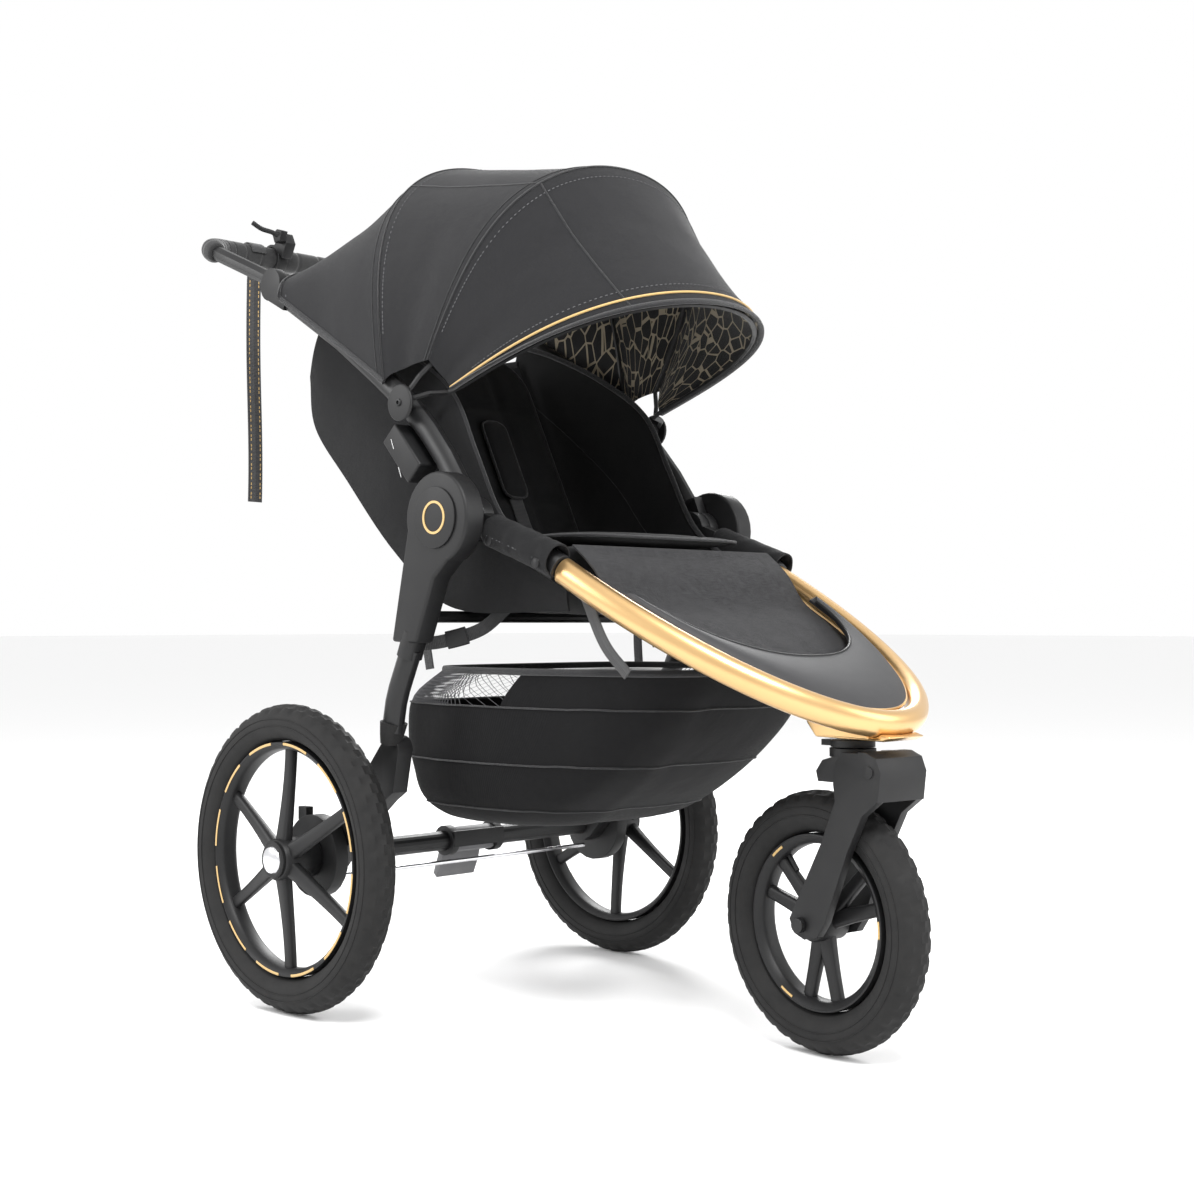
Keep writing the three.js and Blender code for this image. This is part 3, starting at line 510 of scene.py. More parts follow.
def softened(node, width, material=None, segments=3, name=None):
    """The CAD node with its edges rounded, shown in the node's place."""
    mesh = NODES[node].data.copy()
    made = bpy.data.objects.new(name or node + "_moulded", mesh)
    bpy.context.scene.collection.objects.link(made)
    work = bmesh.new()
    work.from_mesh(mesh)
    bmesh.ops.remove_doubles(work, verts=work.verts, dist=1e-5)
    bmesh.ops.dissolve_limit(work, angle_limit=math.radians(2), verts=work.verts, edges=work.edges)
    crisp = [e for e in work.edges if len(e.link_faces) == 2 and e.calc_face_angle(0) > math.radians(32)]
    bmesh.ops.bevel(
        work, geom=crisp, offset=width, segments=segments, profile=0.5, affect="EDGES", clamp_overlap=True
    )
    bmesh.ops.triangulate(work, faces=work.faces)
    work.to_mesh(mesh)
    work.free()
    mesh.materials.clear()
    mesh.materials.append(material or SLOT_MATERIAL[NODE_SLOT[node]])
    smooth_shade(mesh, 35)
    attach(made, NODE_BODY[node])
    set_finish(made, NODE_SLOT[node])
    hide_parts(node)
    return made


def sheet_mesh(name, rows, thickness, material, body, slot, inner_material=None, replaced=(), sharp=60):
    """A closed thin sheet over a grid of points; the inner face is offset along the normals."""
    grid = np.array([[tuple(p) for p in row] for row in rows])
    high, wide = grid.shape[:2]
    down = np.gradient(grid, axis=0)
    across = np.gradient(grid, axis=1)
    normal = np.cross(down, across)
    normal /= np.maximum(np.linalg.norm(normal, axis=2, keepdims=True), 1e-12)
    inner = grid - normal * thickness
    wide_steps = np.linalg.norm(np.diff(grid, axis=1), axis=2)
    long_steps = np.linalg.norm(np.diff(grid, axis=0), axis=2)
    u = np.concatenate([np.zeros((high, 1)), np.cumsum(wide_steps, axis=1)], axis=1)
    u -= u[:, wide // 2][:, None]
    v = np.concatenate([np.zeros((1, wide)), np.cumsum(long_steps, axis=0)], axis=0)
    v = np.repeat(v[:, wide // 2][:, None], wide, axis=1)
    verts = np.concatenate([grid.reshape(-1, 3), inner.reshape(-1, 3)])
    flat = np.stack([u, v], axis=2).reshape(-1, 2)
    uvs = [tuple(p) for p in np.concatenate([flat, flat])]
    shift = high * wide
    faces = []
    inside = []
    for i in range(high - 1):
        for k in range(wide - 1):
            a, b, c, d = i * wide + k, i * wide + k + 1, (i + 1) * wide + k + 1, (i + 1) * wide + k
            faces.append((a, b, c, d))
            inside.append((d + shift, c + shift, b + shift, a + shift))
    rim = list(range(wide)) + [i * wide + wide - 1 for i in range(1, high)]
    rim += [(high - 1) * wide + k for k in range(wide - 2, -1, -1)]
    rim += [i * wide for i in range(high - 2, 0, -1)]
    edge = [(b, a, a + shift, b + shift) for a, b in zip(rim, rim[1:] + rim[:1])]
    made = piece(name, verts, faces + inside + edge, material, None, slot, sharp, uvs, replaced)
    if inner_material:
        made.data.materials.append(inner_material)
        for index in range(len(faces), len(faces) + len(inside)):
            made.data.polygons[index].material_index = 1
    if body:
        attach(made, body)
    cells = np.linalg.norm(np.cross(grid[1:, 1:] - grid[:-1, :-1], grid[1:, :-1] - grid[:-1, 1:]), axis=2) / 2
    made["flat_area"] = float(cells.sum())
    made["flat_wide"] = float(wide_steps.sum(axis=1).max())
    made["flat_long"] = float(long_steps.sum(axis=0).max())
    return made, grid, normal


def joined(name, pieces):
    """One object made of several, for small trim that belongs together."""
    work = bmesh.new()
    for one in pieces:
        work.from_mesh(one.data)
    first = pieces[0]
    mesh = bpy.data.meshes.new(name)
    work.to_mesh(mesh)
    work.free()
    mesh.materials.append(first.data.materials[0])
    smooth_shade(mesh, 45)
    made = bpy.data.objects.new(name, mesh)
    bpy.context.scene.collection.objects.link(made)
    body, slot = first["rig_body"], first["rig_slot"]
    for one in pieces:
        bpy.data.objects.remove(one)
    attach(made, body)
    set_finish(made, slot)
    return made


# A stitch is a bent strip of two ends and a raised middle, with the same six corners again below it.
STITCH_FACES = ((0, 1, 5, 4), (4, 5, 3, 2), (6, 10, 11, 7), (10, 8, 9, 11), (0, 6, 7, 1), (2, 3, 9, 8),
                (0, 4, 10, 6), (4, 2, 8, 10), (1, 7, 11, 5), (5, 11, 9, 3))


def stitches(name, line, normal_of, body, slot, material=DARK_THREAD, length=0.0032, gap=0.0022,
             width=0.0009):
    """A row of short raised stitches along a line of points."""
    lift = 0.0004
    line = [Vector(p) for p in line]
    verts = []
    faces = []
    travelled = 0.0
    next_start = 0.001
    for index, (a, b) in enumerate(zip(line, line[1:])):
        run = (b - a).length
        if run < 1e-9:
            continue
        ahead = (b - a) / run
        while next_start + length < travelled + run:
            start = a + ahead * max(next_start - travelled, 0)
            normal = Vector(normal_of(index)).normalized()
            side = ahead.cross(normal).normalized()
            base = len(verts)
            for along in (0, length):
                verts.append(start + ahead * along - side * width / 2)
                verts.append(start + ahead * along + side * width / 2)
            middle = start + ahead * length / 2 + normal * lift
            verts.append(middle - side * width / 2)
            verts.append(middle + side * width / 2)
            for q in range(6):
                verts.append(verts[base + q] - normal * 0.001)
            faces += [tuple(base + corner for corner in face) for face in STITCH_FACES]
            next_start += length + gap
        travelled += run
        next_start = max(next_start, travelled)
    return piece(name, verts, faces, material, body, slot, 60)


def screw(name, middle, direction, radius, body):
    """A button-head screw with a socket."""
    profile = [(ON_AXIS, -0.001), (radius, -0.001), (radius, 0.0006), (radius * 0.86, 0.0019),
               (radius * 0.5, 0.0024), (radius * 0.46, 0.0004), (ON_AXIS, 0.0002)]
    return lathe(name, profile, middle, direction, COATED, body, "black_metal", 20, 35)

# ------------------------------------------------------------------ frame and fittings with rounded edges

# The width of each rounded edge; a name that is no node stands for the pair of nodes on both sides.
SOFT_EDGE = {
    "leg_shell": 0.004, "canopy_mount": 0.003, "adapter": 0.003, "swing_arm": 0.0025, "brake_drum": 0.002,
    "fork": 0.0035, "caster_head": 0.003, "swivel_lock": 0.0015, "nose_bracket": 0.003, "brake_pedal": 0.0025,
    "pedal_bracket": 0.002, "lever_clamp": 0.0015, "brake_lever": 0.0012, "handle_pivot": 0.002,
    "fork_nut": 0.001, "upper_tube": 0.001, "front_tube": 0.001, "leg_tube": 0.001,
}
for part_name, edge_width in SOFT_EDGE.items():
    names = [part_name] if part_name in NODES else [f"{part_name}_left", f"{part_name}_right"]
    for node_name in names:
        softened(node_name, edge_width)

# ------------------------------------------------------------------ arches shared by hoop and canopy


def arch(share, half_width, reach, width_power, reach_power):
    turn = share * math.pi
    c, s = math.cos(turn), math.sin(turn)
    x = half_width * math.copysign(abs(c) ** (2 / width_power), c)
    return (x, reach * max(s, 0) ** (2 / reach_power))


HOOP_HALF, HOOP_POWER = 0.201, 2.08
HOOP_BACK, HOOP_NOSE = Vector((0, -0.400, 0.5672)), Vector((0, -0.731, 0.391))
HOOP_SLOPE = (HOOP_BACK.z - HOOP_NOSE.z) / (HOOP_BACK.y - HOOP_NOSE.y)
HOOP_UP = Vector((0, -math.sin(math.atan(HOOP_SLOPE)), math.cos(math.atan(HOOP_SLOPE))))


def hoop_point(share, inset=0.0):
    x, reach = arch(share, HOOP_HALF - inset, HOOP_BACK.y - HOOP_NOSE.y - inset, HOOP_POWER, HOOP_POWER)
    y = HOOP_BACK.y - reach
    return at(x, y, HOOP_BACK.z + (y - HOOP_BACK.y) * HOOP_SLOPE)


def opening_point(share):
    x, reach = arch(share, 0.172, 0.172, 2.3, 2.3)
    y = -0.440 - reach
    return at(x, y, HOOP_BACK.z + (y - HOOP_BACK.y) * HOOP_SLOPE)


hoop_line = [hoop_point(i / 96) for i in range(97)]
sweep("hoop_rail", hoop_line, oval(0.027, 0.033, 24), GOLD, "front_frame", "gold_metal", HOOP_UP, sharp=60,
      replaced=("hoop",))
inner_strip = [hoop_point(0.03 + 0.94 * i / 70, 0.0155) + HOOP_UP * 0.0075 for i in range(71)]
sweep("hoop_inner_strip", inner_strip, oval(0.003, 0.005, 10), GOLD, "front_frame", "gold_metal", HOOP_UP)

plate_rows = []
PLATE_DOME = [0.009, 0.0135, 0.0158, 0.0168, 0.0168, 0.0155, 0.014]
for row, dome in enumerate(PLATE_DOME):
    inward = row / (len(PLATE_DOME) - 1)
    line = []
    for i in range(81):
        share = 0.07 + 0.86 * i / 80
        spot = hoop_point(share, 0.015).lerp(opening_point(share), inward)
        line.append(spot + HOOP_UP * dome)
    plate_rows.append(line)
sheet_mesh("footplate_moulding", plate_rows, 0.009, PLATE_RUBBER, "front_frame", "foot_rubber",
                             replaced=("footplate",), sharp=40)
plate_edge = [opening_point(0.07 + 0.86 * i / 80) + HOOP_UP * 0.0125 for i in range(81)]
sweep("footplate_lip", plate_edge, oval(0.004, 0.006, 10), MOULDED, "front_frame", "foot_rubber", HOOP_UP)

# ------------------------------------------------------------------ wheels


def tread(radius, section, blocks, depth):
    def cut(turn, r, along):
        crown = abs(along) < section * 0.82 and r > radius - section
        if not crown:
            return (r, along)
        lane = round(along / (section * 0.33))
        phase = (turn / (2 * math.pi) * blocks + 0.5 * (lane % 2)) % 1
        groove = phase < 0.24 or abs(abs(along) - section * 0.40) < section * 0.07
        return (r - (depth if groove else 0), along)
    return cut


def tyre(name, middle, radius, section, segments, blocks, body, node):
    profile = []
    for i in range(30):
        turn = 2 * math.pi * i / 30
        profile.append((radius - section + section * math.cos(turn), section * math.sin(turn)))
    made = lathe(name, profile, middle, (1, 0, 0), TYRE, body, "tyre", segments, 28, (node,),
                 tread(radius, section, blocks, 0.0022))
    for side in (1, -1):
        for ring in (0.50, 0.74):
            lean = ring * math.pi * 0.5
            spot = radius - section + section * math.cos(lean + 0.55)
            along = section * math.sin(lean + 0.55)
            bead = [(spot + 0.0007 * math.cos(t), side * along + 0.0009 * math.sin(t))
                    for t in (2 * math.pi * q / 6 for q in range(6))]
            lathe(f"{name}_line_{'ab'[side > 0]}_{int(ring * 100)}", bead, middle, (1, 0, 0), TYRE, body,
                  "tyre", 96, 60)
    return made


def rim_ring(outer, depth, half):
    """A rim's profile, the same on both sides of its middle: a flange and a well of that depth."""
    lip = 0.0016
    one_side = [(outer, half - 0.003), (outer - 0.001, half), (outer - 0.003, half + 0.0004),
                (outer - 0.0045, half - 0.0008), (outer - depth, half - 0.005),
                (outer - depth - lip, half - 0.009)]
    return one_side + [(reach, -along) for reach, along in reversed(one_side)]


def wheel(tag, middle, radius, section, depth, hub_radius, hub_low, hub_high, turns, dish, body, node):
    """A moulded wheel whose spokes stand at the given turns and lean out by dish where they meet the hub."""
    outer = radius - 2 * section - 0.0003
    parts = [lathe(f"rim_{tag}", rim_ring(outer, depth, 0.016), middle, (1, 0, 0), WHEEL, body, "rim_plastic",
                   120, 30)]
    hub = disc_profile(hub_radius, hub_low, hub_high, 0.002)
    parts.append(lathe(f"hub_{tag}", hub, middle, (1, 0, 0), WHEEL, body, "rim_plastic", 48, 30))
    for k, turn in enumerate(turns):
        out = Vector((0, math.cos(turn), math.sin(turn)))
        line = []
        for i in range(9):
            t = i / 8
            r = (hub_radius - 0.005) + (outer - depth - hub_radius + 0.008) * t
            line.append(Vector(middle) + out * r + Vector((dish * (1 - t) ** 1.5, 0, 0)))
        parts.append(sweep(f"spoke_{tag}_{k}", line, oval(0.0185, 0.014, 20, 3.2), WHEEL, body, "rim_plastic",
                           (1, 0, 0), scale=lambda s: 1.22 - 0.75 * s + 0.42 * s * s))
    made = joined(f"wheel_moulding_{tag}", parts)
    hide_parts(node)
    return made


def rim_dashes(tag, middle, radius, side_x, turns, length, body):
    """Short painted arcs that stand a hair proud of the rim's flange."""
    parts = []
    for k, turn in enumerate(turns):
        line = []
        for i in range(17):
            a = turn + length * (i / 16 - 0.5)
            line.append(Vector(middle) + Vector((side_x, math.cos(a) * radius, math.sin(a) * radius)))
        parts.append(sweep(f"dash_{tag}_{k}", line, oval(0.0034, 0.0008, 8), THREAD, body, "gold_metal",
                           (1, 0, 0)))
    return joined(f"rim_dashes_{tag}", parts)


REAR_TRACK, REAR_RADIUS, REAR_TYRE = 0.304, 0.200, 0.024
HUB_HALF = 0.0262  # from the rear wheel's middle to its hub's outer end
SIX_SPOKES = [math.pi / 6 + k * math.pi / 3 for k in range(6)]
for side in ("left", "right"):
    hub_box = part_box(f"rim_rear_{side}")
    inner = min(abs(hub_box[0].x), abs(hub_box[1].x)) - REAR_TRACK
    sign = side_of(f"rim_rear_{side}")
    middle = at(sign * REAR_TRACK, 0, REAR_RADIUS)
    body = f"rear_wheel_{side}"
    low, high = sorted((sign * inner, sign * 0.026))
    tyre(f"tyre_tread_{side}", middle, REAR_RADIUS, REAR_TYRE, 288, 48, body, f"tyre_rear_{side}")
    wheel(side, middle, REAR_RADIUS, REAR_TYRE, 0.009, 0.027, low, high, SIX_SPOKES, sign * 0.012, body,
          f"rim_rear_{side}")
    rim_dashes(side, middle, 0.1490, sign * 0.0166, [0.2 + k * math.pi / 6 for k in range(12)], 0.34, body)
    hub_end = middle + Vector((sign * HUB_HALF, 0, 0))
    collar = [(0.0165, 0.0), (0.0235, 0.0), (0.0235, sign * 0.003), (0.0215, sign * 0.0048),
              (0.0165, sign * 0.0048)]
    lathe(f"hub_collar_{side}", collar, hub_end, (1, 0, 0), MOULDED, body, "black_plastic", 48)
    dome = [(ON_AXIS, 0), (0.0185, 0), (0.0185, sign * 0.0035), (0.0165, sign * 0.0068),
            (0.012, sign * 0.0088), (0.006, sign * 0.0096), (ON_AXIS, sign * 0.0098)]
    lathe(f"hub_cap_dome_{side}", dome, hub_end, (1, 0, 0), BRIGHT, body, "silver", 48, 30,
          (f"hub_cap_rear_{side}",))
    valve_turn = math.pi / 2 + 1.05
    valve_out = Vector((0, math.cos(valve_turn), math.sin(valve_turn)))
    valve_line = [middle + valve_out * (0.145 - 0.004 * i) for i in range(8)]
    sweep(f"valve_{side}", valve_line, oval(0.006, 0.006, 12), MOULDED, body, "black_plastic", (1, 0, 0))

STEER = -0.1143  # the caster's turn at rest, in radians
front_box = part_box("tyre_front")
FRONT_RADIUS, FRONT_TYRE = 0.1546, 0.025
front_middle = sum(front_box, Vector()) / 2


def turned_front(made):
    """Turns a piece built straight ahead about the front wheel's middle by the caster's rest angle."""
    turn = Matrix.Rotation(STEER, 4, "Z")
    made.data.transform(Matrix.Translation(front_middle) @ turn @ Matrix.Translation(-front_middle))
    return made


V_SPREAD = math.radians(14)
PAIRS = [-math.pi / 2, math.radians(30), math.radians(150)]
front_turns = [p + s * V_SPREAD for p in PAIRS for s in (1, -1)]
before = set(bpy.data.objects)
tyre("tyre_tread_front", front_middle, FRONT_RADIUS, FRONT_TYRE, 240, 40, "front_wheel", "tyre_front")
wheel("front", front_middle, FRONT_RADIUS, FRONT_TYRE, 0.011, 0.022, -0.022, 0.022, front_turns, 0.0,
      "front_wheel", "rim_front")
rim_dashes("front", front_middle, 0.0995, -0.0158, [0.9, 3.1, 5.2], 0.2, "front_wheel")
valve_out = Vector((0, math.cos(0.9), math.sin(0.9)))
front_valve = [front_middle + valve_out * (0.094 - 0.004 * i) for i in range(7)]
sweep("valve_front", front_valve, oval(0.006, 0.006, 12), MOULDED, "front_wheel", "black_plastic", (1, 0, 0))
for made in sorted(set(bpy.data.objects) - before, key=lambda o: o.name):
    turned_front(made)

# ------------------------------------------------------------------ canopy

PIVOT = Vector((0, -0.141, 0.786))
BOWS = {
    "rear": dict(foot=(-0.098, 0.812), angle=8, half=0.231, reach=0.330, wp=2.2, rp=3.4, edge=0.0003),
    "middle": dict(foot=(-0.141, 0.786), angle=-29.4, half=0.219, reach=0.356, wp=2.09, rp=3.76, edge=0.012),
    "front": dict(foot=(-0.141, 0.786), angle=-71.6, half=0.197, reach=0.360, wp=2.0, rp=3.5, edge=0.012),
}
HEM = dict(half=0.232, y=0.130, z=0.955, lift=0.052, push=0.014)


def bow_point(bow, share, inset=0.0):
    x, reach = arch(share, bow["half"] - inset, bow["reach"] - inset, bow["wp"], bow["rp"])
    lean = math.radians(bow["angle"])
    return at(x, bow["foot"][0] + reach * math.sin(lean), bow["foot"][1] + reach * math.cos(lean))


def between(a, b, share, sag):
    mixed = {key: a[key] + (b[key] - a[key]) * share for key in a if key != "foot"}
    mixed["foot"] = tuple(p + (q - p) * share for p, q in zip(a["foot"], b["foot"]))
    spread = math.radians(abs(a["angle"] - b["angle"])) / 2
    chord = math.cos(spread) / math.cos(spread * (2 * share - 1))
    mixed["reach"] *= 1 + (chord - 1) * sag
    return mixed


def hem_point(share, inset=0.0):
    x, rise = arch(share, HEM["half"] - inset, 1, 4, 2.6)
    return at(x, HEM["y"] + HEM["push"] * rise - inset * 0.3, HEM["z"] + HEM["lift"] * rise - inset)


COLUMNS = 96
PANEL_ROWS = 16
EDGE_SHARE = 0.0003  # how far in from the hood's ends its columns start
SEAM_SHARE = 0.285  # where the side seams run, as a share of the hood's width
WRINKLE_DEPTH = 0.005


def canopy_rows(inset=0.0):
    rows = []
    for a, b, sag in (("front", "middle", 1.25), ("middle", "rear", 1.0)):
        for i in range(PANEL_ROWS):
            bow = between(BOWS[a], BOWS[b], i / PANEL_ROWS, sag)
            shares = [bow["edge"] + (1 - 2 * bow["edge"]) * k / COLUMNS for k in range(COLUMNS + 1)]
            rows.append([bow_point(bow, share, inset) for share in shares])
    for i in range(PANEL_ROWS + 1):
        step = i / PANEL_ROWS
        row = []
        for k in range(COLUMNS + 1):
            share = EDGE_SHARE + (1 - 2 * EDGE_SHARE) * k / COLUMNS
            hollow = 0.007 * math.sin(math.pi * step) * math.sin(math.pi * k / COLUMNS)
            row.append(bow_point(BOWS["rear"], share, inset).lerp(hem_point(share, inset), step)
                       - Vector((0, 0, hollow)))
        rows.append(row)
    return rows


def wrinkled(rows, depth):
    """Soft pulls that start at the bows' ends and die out over the panels."""
    for i, row in enumerate(rows):
        panel = math.sin(math.pi * (i % PANEL_ROWS) / PANEL_ROWS)
        for k, spot in enumerate(row):
            pull = noise.noise(Vector((k * 0.05, i * 0.22, 3.1)))
            pull += 0.5 * noise.noise(Vector((k * 0.13, i * 0.1, 7)))
            centre = at(0, PIVOT.y, PIVOT.z)
            inward = centre - spot
            row[k] = spot + inward.normalized() * depth * panel * (0.55 + 0.45 * pull)
    return rows


def with_fan(made):
    """The piece taken off any body, with its place baked into its mesh."""
    if made.parent:
        made.parent = None
    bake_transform(made)
    return made


rows = wrinkled(canopy_rows(0.0006), WRINKLE_DEPTH)
canopy, canopy_grid, canopy_normal = sheet_mesh("canopy_hood", rows, 0.0016, CANOPY, None, "canopy_cloth",
                                                LINING, ("canopy_cloth",))


def on_canopy(i, k, out):
    return Vector(canopy_grid[i, k] + canopy_normal[i, k] * out)


outward_sign = 1 if Vector(canopy_normal[PANEL_ROWS, COLUMNS // 2]).z > 0 else -1
canopy_normal = canopy_normal * outward_sign
canopy_trim = []


def seam(name, cells, width=0.004, tall=0.0022, material=BINDING, offset=0.0):
    """A raised felled seam that follows grid cells of the canopy."""
    line = [on_canopy(i, k, 0.0004 + offset) for i, k in cells]
    i, k = cells[len(cells) // 2]
    made = sweep(name, line, oval(width, tall, 10), material, None, "canopy_cloth",
                 Vector(canopy_normal[i, k]))
    canopy_trim.append(made)


last_row = 3 * PANEL_ROWS
seam_k = [int(COLUMNS * SEAM_SHARE), COLUMNS - int(COLUMNS * SEAM_SHARE)]
for index, bow_row in enumerate((PANEL_ROWS, 2 * PANEL_ROWS)):
    for shift, wide in ((0, 0.0035), (1, 0.0018)):
        cells = [(bow_row + shift, k) for k in range(0, COLUMNS + 1)]
        seam(f"bow_seam_{index}_{shift}", cells, wide, 0.0018)
for side_index, k in enumerate(seam_k):
    seam(f"side_seam_{side_index}", [(i, k) for i in range(0, 2 * PANEL_ROWS + 1)], 0.003, 0.0018)
front_edge = [(0, k) for k in range(0, COLUMNS + 1)]
seam("visor_binding", front_edge, 0.010, 0.005)
seam("visor_piping", [(1, k) for k in range(0, COLUMNS + 1)], 0.0032, 0.0032, THREAD, offset=0.0008)
seam("hem_binding", [(last_row, k) for k in range(0, COLUMNS + 1)], 0.009, 0.0045)
for side_index, k in enumerate((0, COLUMNS)):
    seam(f"side_binding_{side_index}", [(i, k) for i in range(2 * PANEL_ROWS, last_row + 1)], 0.008, 0.004)
for row_index, row in enumerate((2, PANEL_ROWS - 1, 2 * PANEL_ROWS - 1, last_row - 1)):
    line = [on_canopy(row, k, 0.0005) for k in range(2, COLUMNS - 1)]
    normals = [Vector(canopy_normal[row, k]) for k in range(2, COLUMNS - 1)]
    made = stitches(f"canopy_stitch_{row_index}", line, lambda q: normals[q], None, "canopy_cloth")
    canopy_trim.append(made)
with_fan(canopy)
for made in canopy_trim:
    with_fan(made)

# ------------------------------------------------------------------ seat


def cushion(name, origin, across, along, out, width, length, thick, material, body, slot, crown=0.35, rows=40,
            cols=40, channels=(), replaced=(), corner=0.06):
    """A stuffed panel: crowned faces, rounded corners, sewn channels and a piped edge."""
    across, along, out = Vector(across).normalized(), Vector(along).normalized(), Vector(out).normalized()
    verts = []
    uvs = []
    for face in (1, -1):
        for i in range(rows + 1):
            v = i / rows
            for k in range(cols + 1):
                u = k / cols * 2 - 1
                edge_v = min(v, 1 - v) * length
                squeeze = 1.0
                if edge_v < corner:
                    round_in = 1 - math.sqrt(max(0, 1 - (1 - edge_v / corner) ** 2))
                    squeeze = 1 - (corner / width) * 2 * round_in
                rise_u = (1 - abs(u) ** 6) ** 0.5
                rise_v = (1 - abs(2 * v - 1) ** 8) ** 0.5
                swell = (1 - crown) + crown * math.cos(u * math.pi / 2) ** 0.6
                groove = 0.0
                for kind, place in channels:
                    gap = (v * length - place) if kind == "across" else (u * width / 2 - place)
                    groove += math.exp(-((gap / 0.006) ** 2))
                puff = noise.noise(Vector((u * 3, v * 4, face * 5))) * 0.06
                sunk = 1 - 0.5 * min(groove, 1) * (face > 0)
                height = thick / 2 * rise_u * rise_v * (swell + puff) * sunk
                spot = Vector(origin) + across * (u * width / 2 * squeeze) + along * (v * length)
                verts.append(spot + out * (face * height))
                uvs.append((u * width / 2, v * length))
    shift = (rows + 1) * (cols + 1)
    faces = []
    for i in range(rows):
        for k in range(cols):
            a = i * (cols + 1) + k
            b = a + 1
            c = a + cols + 2
            d = a + cols + 1
            faces.append((a, b, c, d))
            faces.append((a + shift, d + shift, c + shift, b + shift))
    made = piece(name, verts, faces, material, None, slot, 70, uvs, replaced)
    weld(made, 2e-5)
    smooth_shade(made.data, 70)
    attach(made, body)
    border = []
    for i in range(rows + 1):
        border.append(verts[i * (cols + 1) + cols])
    for i in range(rows, -1, -1):
        border.append(verts[i * (cols + 1)])
    border.append(border[0])
    trim = sweep(name + "_piping", border, oval(0.004, 0.004, 8), BINDING, body, slot, out)
    return made, trim


BACK_FOOT = Vector((0, -0.094, 0.592))
BACK_HEAD = Vector((0, 0.062, 0.908))
back_along = (BACK_HEAD - BACK_FOOT).normalized()
back_out = Vector((0, -back_along.z, back_along.y))
back_length = (BACK_HEAD - BACK_FOOT).length


def on_back(x, up, out):
    spot = BACK_FOOT + back_along * up + back_out * out
    return at(x, spot.y, spot.z)


cushion("backrest_pad", on_back(0, 0.002, -0.0125), (1, 0, 0), back_along, back_out, 0.328,
        back_length - 0.004, 0.024, SEAT, "backrest", "seat_cloth", replaced=("seat_back",),
        channels=(("across", 0.10), ("across", 0.25), ("side", 0.085), ("side", -0.085)))
for side in ("left", "right"):
    sign = side_of(f"shoulder_pad_{side}")
    cushion(f"shoulder_cover_{side}", on_back(sign * 0.045, 0.098, 0.0062), (1, 0, 0), back_along, back_out,
            0.045, 0.126, 0.0105, SEAT, "backrest", "seat_cloth", rows=24, cols=12,
            replaced=(f"shoulder_pad_{side}",), corner=0.014)
    strap_line = [on_back(sign * 0.045, up, 0.0018) for up in (0.03, 0.06, 0.098)]
    strap_line = [on_back(sign * 0.02, 0.012, 0.004)] + strap_line
    sweep(f"harness_strap_{side}", catmull(strap_line, 6), oval(0.025, 0.0016, 12, 6), WEBBING, "backrest",
          "webbing", back_out)


def resampled(points, count):
    """The points of a polyline, spaced evenly along its smoothed run."""
    line = catmull([Vector((0, y, z)) for y, z in points], 8)
    reach = [0.0]
    for a, b in zip(line, line[1:]):
        reach.append(reach[-1] + (b - a).length)
    ys = np.interp(np.linspace(0, reach[-1], count), reach, [p.y for p in line])
    zs = np.interp(np.linspace(0, reach[-1], count), reach, [p.z for p in line])
    return [Vector((0, y, z)) for y, z in zip(ys, zs)]


# The side panels rise from the seat's edge to the inner face of the upper tubes.
SIDE_LOW = [(-0.392, 0.520), (-0.184, 0.524), (-0.066, 0.597), (0.040, 0.700), (0.112, 0.778), (0.124, 0.850)]
SIDE_HIGH = [(-0.392, 0.556), (-0.330, 0.592), (-0.268, 0.640), (-0.222, 0.720), (-0.176, 0.800),
             (-0.090, 0.858), (0.010, 0.904), (0.090, 0.930)]


def side_panel(tag, sign):
    columns, levels = 72, 24
    low_line, high_line = resampled(SIDE_LOW, columns + 1), resampled(SIDE_HIGH, columns + 1)
    rows = []
    for i in range(levels + 1):
        t = i / levels
        row = []
        for k in range(columns + 1):
            spot = low_line[k].lerp(high_line[k], t)
            fold = noise.noise(Vector((spot.y * 9, spot.z * 6, sign * 2.0)))
            puff = 0.004 * math.sin(math.pi * t) + 0.0035 * fold * math.sin(math.pi * t)
            row.append(at(sign * (0.1815 + puff), spot.y, spot.z))
        rows.append(row)
    made, grid = sheet_mesh(f"seat_side_cloth_{tag}", rows, sign * 0.003, SEAT, None, "seat_cloth",
                            replaced=(f"seat_side_{tag}",))[:2]
    edge = [Vector(grid[levels, k]) for k in range(columns + 1)]
    trim = sweep(f"seat_side_binding_{tag}", edge, oval(0.008, 0.005, 10), BINDING, None, "seat_cloth",
                 (sign, 0, 0))
    seam_line = [Vector(grid[levels // 2, k]) + Vector((sign * 0.0008, 0, 0)) for k in range(columns + 1)]
    welt = sweep(f"seat_side_welt_{tag}", seam_line, oval(0.003, 0.002, 8), BINDING, None, "seat_cloth",
                 (sign, 0, 0))
    for cloth in (made, trim, welt):
        cloth.parent = None
        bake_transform(cloth)


for tag in ("left", "right"):
    side_panel(tag, side_of(f"seat_side_{tag}"))

